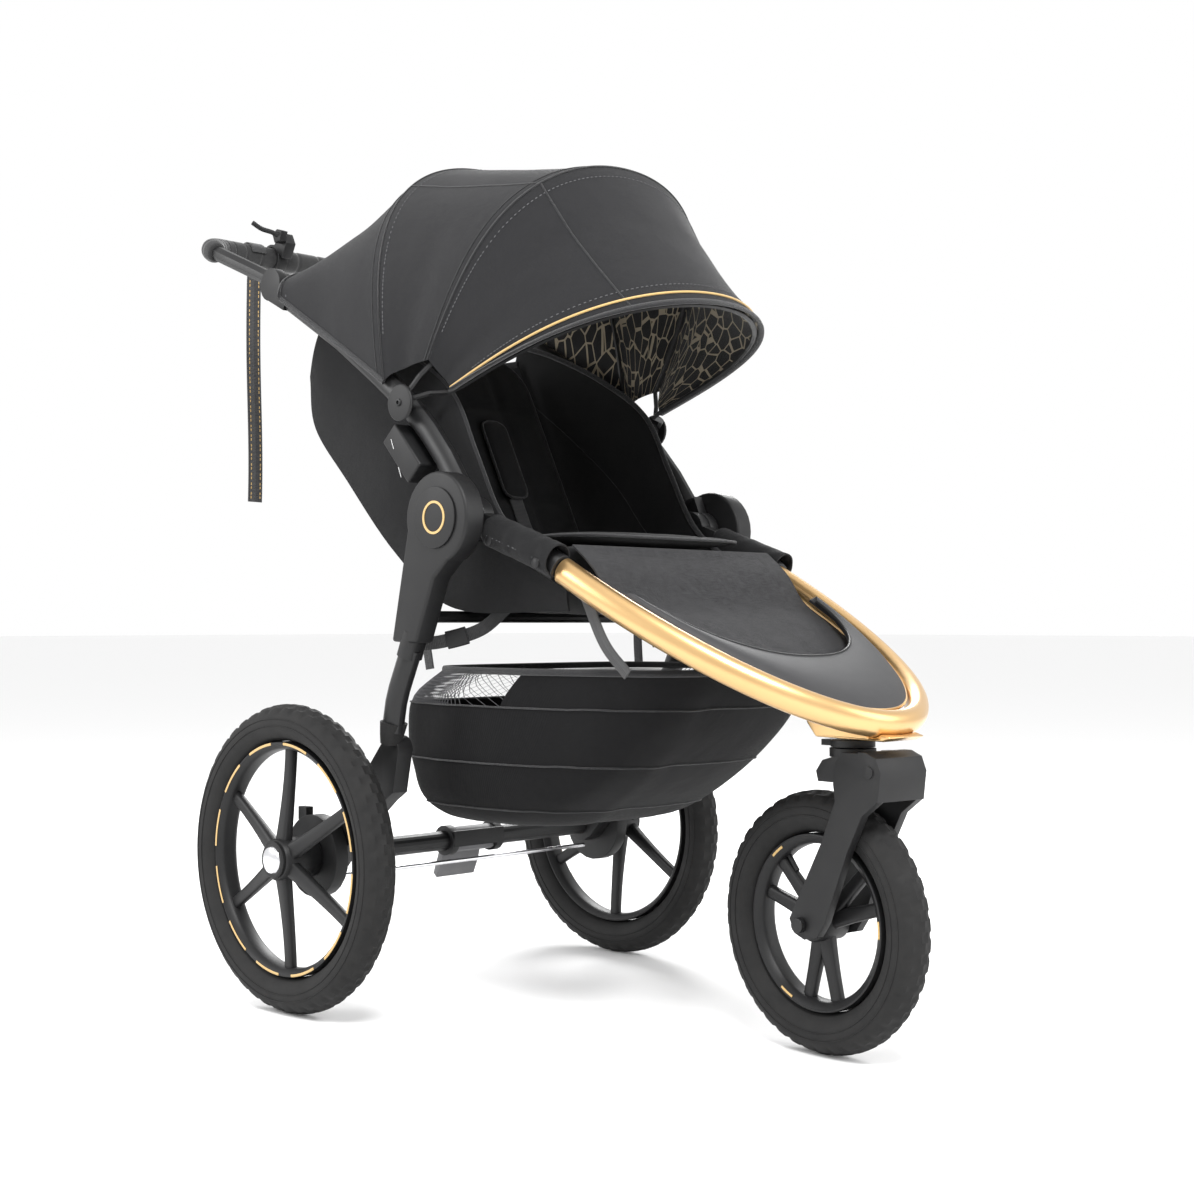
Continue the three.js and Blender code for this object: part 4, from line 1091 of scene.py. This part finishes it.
# The back of the seat is one slack cloth shell that hangs behind the backrest.
SHELL_HALF, SHELL_CORNER, SHELL_COLUMNS = 0.1745, 0.42, 80
SHELL_BACK = [(-0.066, 0.592), (0.020, 0.664), (0.096, 0.742), (0.132, 0.800), (0.142, 0.860), (0.149, 0.900)]
shell_line = resampled(SHELL_BACK, 41)
shell_rows = []
for i, spot in enumerate(shell_line):
    t = i / (len(shell_line) - 1)
    share = (spot.z - BACK_FOOT.z) / (BACK_HEAD.z - BACK_FOOT.z)
    front_y = BACK_FOOT.y + (BACK_HEAD.y - BACK_FOOT.y) * share + 0.028
    row = []
    for k in range(SHELL_COLUMNS + 1):
        turn = math.pi * k / SHELL_COLUMNS
        c, n = math.cos(turn), math.sin(turn)
        x = SHELL_HALF * math.copysign(abs(c) ** SHELL_CORNER, c)
        fold = noise.noise(Vector((x * 11, t * 3.2, 4.4))) * 0.006
        fold += noise.noise(Vector((x * 26, t * 5, 1))) * 0.002
        bulge = max(spot.y - front_y, 0.004) * abs(n) ** SHELL_CORNER
        y = front_y + bulge - 0.003 + fold * n - 0.006 * (n > 0.2) * n * t
        row.append(at(x, y, spot.z + 0.004 * fold / 0.006 * 0.3))
    shell_rows.append(row)
back_shell, shell_grid = sheet_mesh("back_shell_cloth", shell_rows, 0.0015, SEAT, "backrest", "seat_cloth",
                                    replaced=("seat_gusset",))[:2]
shell_top = [Vector(shell_grid[-1, k]) for k in range(SHELL_COLUMNS + 1)]
shell_hem = sweep("back_shell_hem", shell_top, oval(0.005, 0.010, 10), BINDING, "backrest", "seat_cloth",
                  (0, 0, 1))
for k in (22, 58):
    line = [Vector(shell_grid[i, k]) for i in range(len(shell_line))]
    sweep(f"back_shell_seam_{k}", line, oval(0.004, 0.003, 8), BINDING, "backrest",
                             "seat_cloth", (0, 1, 0))

# The seat's underside is a sling that sags between the tubes.
SLING = [(-0.084, 0.566), (-0.110, 0.586), (-0.240, 0.590), (-0.388, 0.599), (-0.396, 0.580), (-0.380, 0.552),
         (-0.300, 0.528), (-0.200, 0.526), (-0.140, 0.534), (-0.098, 0.552)]
sling_line = catmull([Vector((0, y, z)) for y, z in SLING + SLING[:1]], 6)[:-1]
sling_rings = []
for k in range(41):
    u = k / 20 - 1
    ring = []
    for spot in sling_line:
        below = max(0.0, (0.575 - spot.z) / 0.05)
        fold = noise.noise(Vector((u * 4, spot.y * 16, spot.z * 9)))
        end = 1 - 0.10 * abs(u) ** 14
        middle = Vector((0, -0.24, 0.564))
        shaped = middle.lerp(spot, end)
        ring.append(at(0.1775 * u, shaped.y, shaped.z - 0.008 * below * (1 - u * u) + 0.003 * fold * below))
    sling_rings.append(ring)
sling_verts = [p for ring in sling_rings for p in ring]
around = len(sling_line)
sling_faces = ring_faces(41, around)
sling_faces.append(tuple(range(around)))
sling_faces.append(tuple(range(40 * around, 41 * around)))
sling_uvs = [(i // around * 0.009, i % around * 0.01) for i in range(len(sling_verts))]
sling = piece("seat_sling", sling_verts, sling_faces, SEAT, "front_frame", "seat_cloth", 60, sling_uvs,
              ("seat_base",))

# Webbing with a side-release buckle ties the seat to the legs.
for tag, sign in BOTH_SIDES:
    tie = catmull([at(sign * 0.226, -0.150, 0.478), at(sign * 0.205, -0.185, 0.482),
                   at(sign * 0.176, -0.225, 0.497), at(sign * 0.160, -0.255, 0.524)], 8)
    sweep(f"seat_tie_{tag}", tie, oval(0.0018, 0.017, 12, 6), WEBBING, "front_frame", "webbing", (0, 0, 1))
    buckle = tie[9:14]
    sweep(f"seat_tie_buckle_{tag}", buckle, oval(0.009, 0.023, 16, 5), MOULDED, "front_frame",
          "black_plastic", (0, 0, 1))

# The legs' tubes reach up into their shells.
for side in ("left", "right"):
    low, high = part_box(f"leg_tube_{side}")
    spots = np.array([v.co for v in NODES[f"leg_tube_{side}"].data.vertices])
    top = Vector(spots[spots[:, 2] > high.z - 0.012].mean(axis=0))
    foot = Vector(spots[np.abs(spots[:, 2] - (high.z - 0.07)) < 0.035].mean(axis=0))
    upward = Vector((0, (top - foot).y, (top - foot).z)).normalized()
    plug = [top - upward * 0.012, top + upward * 0.006, top + upward * 0.022]
    bottom = Vector(spots[spots[:, 2] < low.z + 0.010].mean(axis=0))
    above = Vector(spots[np.abs(spots[:, 2] - (low.z + 0.05)) < 0.03].mean(axis=0))
    downward = Vector((0, (bottom - above).y, (bottom - above).z)).normalized()
    boot = [bottom - downward * 0.012, bottom + downward * 0.004, bottom + downward * 0.016]
    sweep(f"leg_boot_{side}", boot, oval(0.024, 0.031, 24, 2.6), TYRE, "rear_frame", "tyre", (1, 0, 0),
          scale=lambda t: 1.16 - 0.3 * t)
    sweep(f"leg_sleeve_{side}", plug, oval(0.026, 0.033, 24, 2.6), COATED, "rear_frame", "black_metal",
          (1, 0, 0))

cushion("seat_pad", at(0, -0.09, 0.607), (1, 0, 0), (0, -0.302, 0.006), (0, 0.02, 1), 0.335, 0.298, 0.016,
        SEAT, "front_frame", "seat_cloth",
        channels=(("across", 0.1), ("across", 0.2), ("side", 0.09), ("side", -0.09)))

# ------------------------------------------------------------------ apron

APRON = [(-0.396, 0.598), (-0.430, 0.570), (-0.462, 0.530), (-0.510, 0.503), (-0.560, 0.473), (-0.612, 0.436)]
apron_line = catmull([Vector((0, y, z)) for y, z in APRON], 8)
apron_rows = []
for spot in apron_line:
    share = min(1.0, (HOOP_BACK.y - min(spot.y, HOOP_BACK.y)) / (HOOP_BACK.y - HOOP_NOSE.y))
    inside = HOOP_HALF * (1 - share**HOOP_POWER) ** (1 / HOOP_POWER)
    half = min(inside - 0.0175, 0.190)
    row = []
    for i in range(65):
        u = 1 - i / 32
        fold = 0.0012 * noise.noise(Vector((u * 6, spot.y * 30, 1.7))) - 0.003 * (1 - u * u)
        row.append(at(half * u, spot.y, spot.z - 0.0006 + fold * (share > 0.01)))
    apron_rows.append(row)
apron, apron_grid, apron_normal = sheet_mesh("apron_panel", apron_rows, 0.0022, LINEN, "front_frame",
                                             "linen_cloth", replaced=("apron",))
apron_up = 1 if apron_normal[20, 32][2] > 0 else -1
for k in (10, 54):
    line = [Vector(apron_grid[i, k] + apron_normal[i, k] * apron_up * 0.0006) for i in range(len(apron_line))]
    sweep(f"apron_seam_{k}", line, oval(0.003, 0.0018, 8), BINDING, "front_frame",
                            "linen_cloth", (0, 0, 1))
    shifted = [p + Vector((0.005, 0, 0.0002)) for p in line]
    stitches(f"apron_stitch_{k}", shifted, lambda q: (0, -0.4, 0.9), "front_frame",
                               "linen_cloth")

# ------------------------------------------------------------------ basket

LEVELS = [(0.243, -0.128, -0.268, 0.104), (0.252, -0.094, -0.318, 0.148), (0.276, -0.064, -0.366, 0.174),
          (0.316, -0.048, -0.428, 0.188), (0.364, -0.046, -0.482, 0.195), (0.410, -0.058, -0.520, 0.200),
          (0.446, -0.124, -0.538, 0.204)]
SIDES = 96


def level_at(t):
    place = t * (len(LEVELS) - 1)
    i = min(int(place), len(LEVELS) - 2)
    points = [LEVELS[max(i - 1, 0)], LEVELS[i], LEVELS[i + 1], LEVELS[min(i + 2, len(LEVELS) - 1)]]
    f = place - i
    return [spline(a, b, c, d, f) for a, b, c, d in zip(*points)]


def basket_ring(t, inset):
    height, rear, front, half = level_at(t)
    ring = []
    for i in range(SIDES):
        turn = 2 * math.pi * i / SIDES
        c, s = math.cos(turn), math.sin(turn)
        x = math.copysign(abs(c) ** 0.4, c)
        y = math.copysign(abs(s) ** 0.4, s)
        width = half * (1 - 0.22 * max(0, -y)) - inset
        slack = 0.0035 * noise.noise(Vector((x * 3.2, y * 3.2, t * 5))) * math.sin(math.pi * t) - 0.002
        wave = 0.002 * noise.noise(Vector((x * 4, y * 4, 9)))
        ring.append(at(x * (width + slack), (rear + front) / 2 + y * ((rear - front) / 2 - inset + slack),
                       height + wave * (t < 0.9) + inset * (t < 0.1)))
    return ring


NET_FROM, NET_BEHIND = 0.80, -0.31  # the net runs above this share of the height, behind this place


def basket_shell():
    steps = 30
    rings = [basket_ring(i / steps, 0.0) for i in range(steps + 1)]
    verts = [p for ring in rings for p in ring]
    uvs = [(i % SIDES * 0.016, i // SIDES * 0.01) for i in range(len(verts))]

    def is_cloth(i, k):
        return i / steps < NET_FROM or rings[steps][k].y - AXLE_Y <= NET_BEHIND

    faces = ring_faces(steps + 1, SIDES, keep=is_cloth)
    faces.append(tuple(range(SIDES)))
    made = piece("basket_cloth_shell", verts, faces, BASKET, None, "basket_cloth", 60, uvs, ("basket",))
    work = bmesh.new()
    work.from_mesh(made.data)
    bmesh.ops.delete(work, geom=[v for v in work.verts if not v.link_faces], context="VERTS")
    bmesh.ops.recalc_face_normals(work, faces=work.faces)
    bmesh.ops.solidify(work, geom=work.faces[:], thickness=0.0022)
    bmesh.ops.recalc_face_normals(work, faces=work.faces)
    work.to_mesh(made.data)
    work.free()
    smooth_shade(made.data, 60)
    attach(made, "front_frame")


def basket_net():
    """Two families of slanting threads between the cloth and the rim's binding."""
    strands, climb = 300, 7
    around = [basket_ring(NET_FROM + (1 - NET_FROM) * q / 6, 0.001) for q in range(7)]

    def on_ring(q, place):
        place = place % SIDES
        k = int(place)
        return around[q][k].lerp(around[q][(k + 1) % SIDES], place - k)

    thick = 0.00035
    verts, faces = [], []
    for lean in (1, -1):
        for k in range(strands):
            start = k / strands * SIDES
            line = [on_ring(q, start + lean * climb * 0.25 * q / 6) for q in range(7)]
            if line[6].y - AXLE_Y <= NET_BEHIND:
                continue
            base = len(verts)
            for spot in line:
                verts.extend([spot + Vector((thick, thick, 0)), spot + Vector((-thick, thick, 0)),
                              spot + Vector((-thick, -thick, 0)), spot + Vector((thick, -thick, 0))])
            faces += ring_faces(7, 4, base)
            faces.append((base, base + 1, base + 2, base + 3))
            faces.append((base + 24, base + 25, base + 26, base + 27))
    piece("basket_net", verts, faces, DARK_THREAD, "front_frame", "basket_cloth", 60)


basket_shell()
basket_net()
rim = basket_ring(1.0, 0.001)
rim.append(rim[0])
sweep("basket_binding", rim, oval(0.006, 0.009, 10), BINDING, "front_frame", "basket_cloth", (0, 0, 1))
for q, share in enumerate((0.30, 0.55, NET_FROM)):
    ring = basket_ring(share, -0.0006)
    ring.append(ring[0])
    sweep(f"basket_seam_{q}", ring, oval(0.0022, 0.0022, 8), BINDING, "front_frame", "basket_cloth",
          (0, 0, 1))
# Webbing loops hang the basket's rim from the seat: where each starts and ends behind the axle, and its top.
HANGERS = ((-0.150, -0.140, 0.205, 0.520), (-0.500, -0.430, 0.196, 0.540))
for tag, sign in BOTH_SIDES:
    for q, (low_y, high_y, high_x, high_z) in enumerate(HANGERS):
        loop = catmull([at(sign * 0.196, low_y, 0.446), at(sign * 0.199, (low_y + high_y) / 2, 0.482),
                        at(sign * high_x, high_y, high_z)], 8)
        sweep(f"basket_hanger_{tag}_{q}", loop, oval(0.0018, 0.016, 12, 6), WEBBING, "front_frame", "webbing",
              (0, 1, 0))

# The basket, what is sewn to it and the seat ties each get a mesh of their own.
for made in list(bpy.data.objects):
    if made.name.startswith("basket_") and "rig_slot" in made:
        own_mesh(made)
    if made.name.startswith("seat_tie") and "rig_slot" in made:
        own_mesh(made)

# ------------------------------------------------------------------ cloth sleeves on the front tubes

FRONT_DIRECTION = Vector((0, -137, -48)).normalized()
HINGE = Vector((0, -0.245, 0.634))
TUBE_X = 0.2125
SLEEVE_START, SLEEVE_LENGTH, SLEEVE_AROUND = 0.048, 0.118, 32


def on_front_tube(x, distance, side=0.0, up=0.0):
    above = Vector((0, FRONT_DIRECTION.z, -FRONT_DIRECTION.y))
    spot = HINGE + FRONT_DIRECTION * distance + above * up
    return at(x + side, spot.y, spot.z)


def sleeve(tag, sign):
    """A snapped cloth sleeve with a row of stitches along its outer side."""
    rings = []
    steps = 36
    for i in range(steps + 1):
        t = i / steps
        distance = SLEEVE_START + SLEEVE_LENGTH * t
        ring = []
        for k in range(SLEEVE_AROUND):
            turn = 2 * math.pi * k / SLEEVE_AROUND
            fold = 0.0011 * noise.noise(Vector((turn * 1.6, t * 9, sign * 3)))
            wide = 0.0196 + fold
            tall = 0.0208 + fold
            ring.append(on_front_tube(sign * TUBE_X, distance, math.cos(turn) * wide, math.sin(turn) * tall))
        rings.append(ring)
    verts = [p for ring in rings for p in ring]
    inner = []
    for i, p in enumerate(verts):
        centre = on_front_tube(sign * TUBE_X, SLEEVE_START + SLEEVE_LENGTH * (i // SLEEVE_AROUND) / steps)
        inner.append(p + (centre - p) * 0.09)
    count = len(verts)
    uvs = [(i % SLEEVE_AROUND * 0.004, i // SLEEVE_AROUND * 0.0033) for i in range(count)] * 2
    faces = []
    for i in range(steps):
        for k in range(SLEEVE_AROUND):
            n = (k + 1) % SLEEVE_AROUND
            here, there = i * SLEEVE_AROUND, (i + 1) * SLEEVE_AROUND
            a, b, c, d = here + k, here + n, there + n, there + k
            faces.append((a, b, c, d))
            faces.append((a + count, d + count, c + count, b + count))
    for k in range(SLEEVE_AROUND):
        n = (k + 1) % SLEEVE_AROUND
        faces.append((k, n, n + count, k + count))
        last = steps * SLEEVE_AROUND
        faces.append((last + n, last + k, last + k + count, last + n + count))
    piece(f"tube_sleeve_{tag}", verts + inner, faces, SEAT, "front_frame", "seat_cloth", 60, uvs)
    for q, distance in enumerate((0.062, 0.150)):
        spot = on_front_tube(sign * TUBE_X, distance, sign * 0.0185, -0.009)
        lathe(f"snap_{tag}_{q}", [(ON_AXIS, 0), (0.0062, 0), (0.0062, sign * 0.0012), (0.0045, sign * 0.0024),
              (ON_AXIS, sign * 0.0027)], spot, (1, 0, 0), MOULDED, "front_frame", "black_plastic", 24, 40)
    line = [on_front_tube(sign * TUBE_X, 0.055 + 0.1 * i / 20, sign * 0.0192, -0.004) for i in range(21)]
    stitches(f"sleeve_stitch_{tag}", line, lambda q: (sign, 0, 0), "front_frame", "seat_cloth")


for tag, sign in BOTH_SIDES:
    sleeve(tag, sign)

# ------------------------------------------------------------------ badges, prints and screws

for side in ("left", "right"):
    low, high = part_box(f"hinge_badge_{side}")
    sign = math.copysign(1, low.x)
    face = max(abs(low.x), abs(high.x))
    middle = at(sign * face, HINGE.y, HINGE.z)
    softened(f"hinge_badge_{side}", 0.0008, MOULDED)
    ring = [(0.0175, 0), (0.0205, 0), (0.0205, sign * 0.0008), (0.0175, sign * 0.0008)]
    lathe(f"badge_ring_{side}", ring, middle, (1, 0, 0), THREAD, "rear_frame", "gold_metal", 64, 30)
    low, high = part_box(f"canopy_mount_{side}")
    mount_face = at(sign * max(abs(low.x), abs(high.x)), PIVOT.y, PIVOT.z)
    screw(f"mount_screw_{side}", mount_face, (sign, 0, 0), 0.005, "upper_frame")
    low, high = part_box(f"adapter_{side}")
    out = sign * max(abs(low.x), abs(high.x))
    axis = Vector((0, 62, 152)).normalized()
    for q, shift in enumerate((-0.022, 0.018)):
        centre = at(out + sign * 0.0002, -0.139, 0.722) + axis * shift + Vector((0, 0.010, -0.004))
        line = [centre - axis * 0.007, centre + axis * 0.007]
        sweep(f"adapter_mark_{side}_{q}", line, oval(0.0006, 0.0014, 8), PALE, "upper_frame", "black_plastic",
              (1, 0, 0))

# ------------------------------------------------------------------ handlebar, grip and wrist strap

GRIP_STEPS = 24  # points between two of the handlebar's
handle_half = [(0.1975, 0.165, 0.980), (0.200, 0.230, 1.009), (0.208, 0.320, 1.049), (0.192, 0.350, 1.061),
               (0.152, 0.365, 1.065), (0.060, 0.365, 1.065)]
handle_points = [at(x, y, z) for x, y, z in handle_half]
handle_points += [at(-x, y, z) for x, y, z in reversed(handle_half)]
softened("handlebar", 0.001)
grip_line = catmull(handle_points, GRIP_STEPS)
grip_start, grip_end = 2 * GRIP_STEPS, len(grip_line) - 1 - 2 * GRIP_STEPS
grip_cut = grip_line[grip_start : grip_end + 1]


def ring_swell(step):
    """Moulded rings along the grip, with its ends rounded off."""
    place = step * 22
    ridge = 0.93 + 0.07 * min(1, abs(math.sin(math.pi * place)) * 3)
    end = min(step, 1 - step)
    return ridge * (0.75 + 0.25 * min(1, end * 40) ** 0.5)


dense = []
for a, b in zip(grip_cut, grip_cut[1:]):
    dense += [a.lerp(b, f / 4) for f in range(4)]
dense.append(grip_cut[-1])
sweep("grip_sleeve", dense, oval(0.0335, 0.0335, 28), FOAM, "handle", "grip_foam", sharp=60,
      replaced=("handle_grip",), scale=ring_swell)

low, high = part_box("wrist_strap")
strap_x = (low.x + high.x) / 2
strap_y = 0.365
strap_top = 1.065
LOOP_RADIUS = 0.0185
strap_points = []
for i in range(15):
    turn = math.radians(-80 + 250 * i / 14)
    loop_y = strap_y + LOOP_RADIUS * math.cos(turn)
    strap_points.append(at(strap_x, loop_y, strap_top + LOOP_RADIUS * math.sin(turn)))
fall = []
for i in range(25):
    t = i / 24
    sway = 0.002 * math.sin(3.2 * t)
    swing = 0.004 * math.sin(5 * t)
    fall.append(at(strap_x + sway, strap_y - 0.004 + swing, strap_top - 0.024 - 0.352 * t))
strap_line = catmull(strap_points[::-1] + fall, 3)
sweep("wrist_webbing", strap_line, oval(0.0022, 0.025, 16, 8), WEBBING, "safety_strap", "webbing", (1, 0, 0),
      replaced=("wrist_strap",))
for q, side in enumerate((-0.008, 0.008)):
    for face in (1, -1):
        line = [p + Vector((side, face * 0.0013, 0)) for p in fall]
        name = f"wrist_stitch_{q}_{'ab'[face > 0]}"
        stitches(name, line, lambda i: (0, face, 0), "safety_strap", "webbing", THREAD, 0.004, 0.0018, 0.0012)

# ------------------------------------------------------------------ materials on what stays of the frame

for node_name, node in NODES.items():
    node.data.materials.clear()
    node.data.materials.append(SLOT_MATERIAL[NODE_SLOT[node_name]])
    smooth_shade(node.data, 32)

floor_mesh = bpy.data.meshes.new("floor")
REACH = 60.0
floor_mesh.from_pydata([(-REACH, -REACH, 0), (REACH, -REACH, 0), (REACH, REACH, 0), (-REACH, REACH, 0)], [],
                       [(0, 1, 2, 3)])
floor = bpy.data.objects.new("floor", floor_mesh)
bpy.context.scene.collection.objects.link(floor)
pale = Finish("studio_floor", (0.92, 0.92, 0.92), 0.8)
floor_mesh.materials.append(pale.material)
world = bpy.data.worlds.new("studio")
bpy.context.scene.world = world
bpy.context.scene.view_settings.view_transform = "Standard"
world.use_nodes = True
world.node_tree.nodes["Background"].inputs["Color"].default_value = (1, 1, 1, 1)
world.node_tree.nodes["Background"].inputs["Strength"].default_value = 1.0
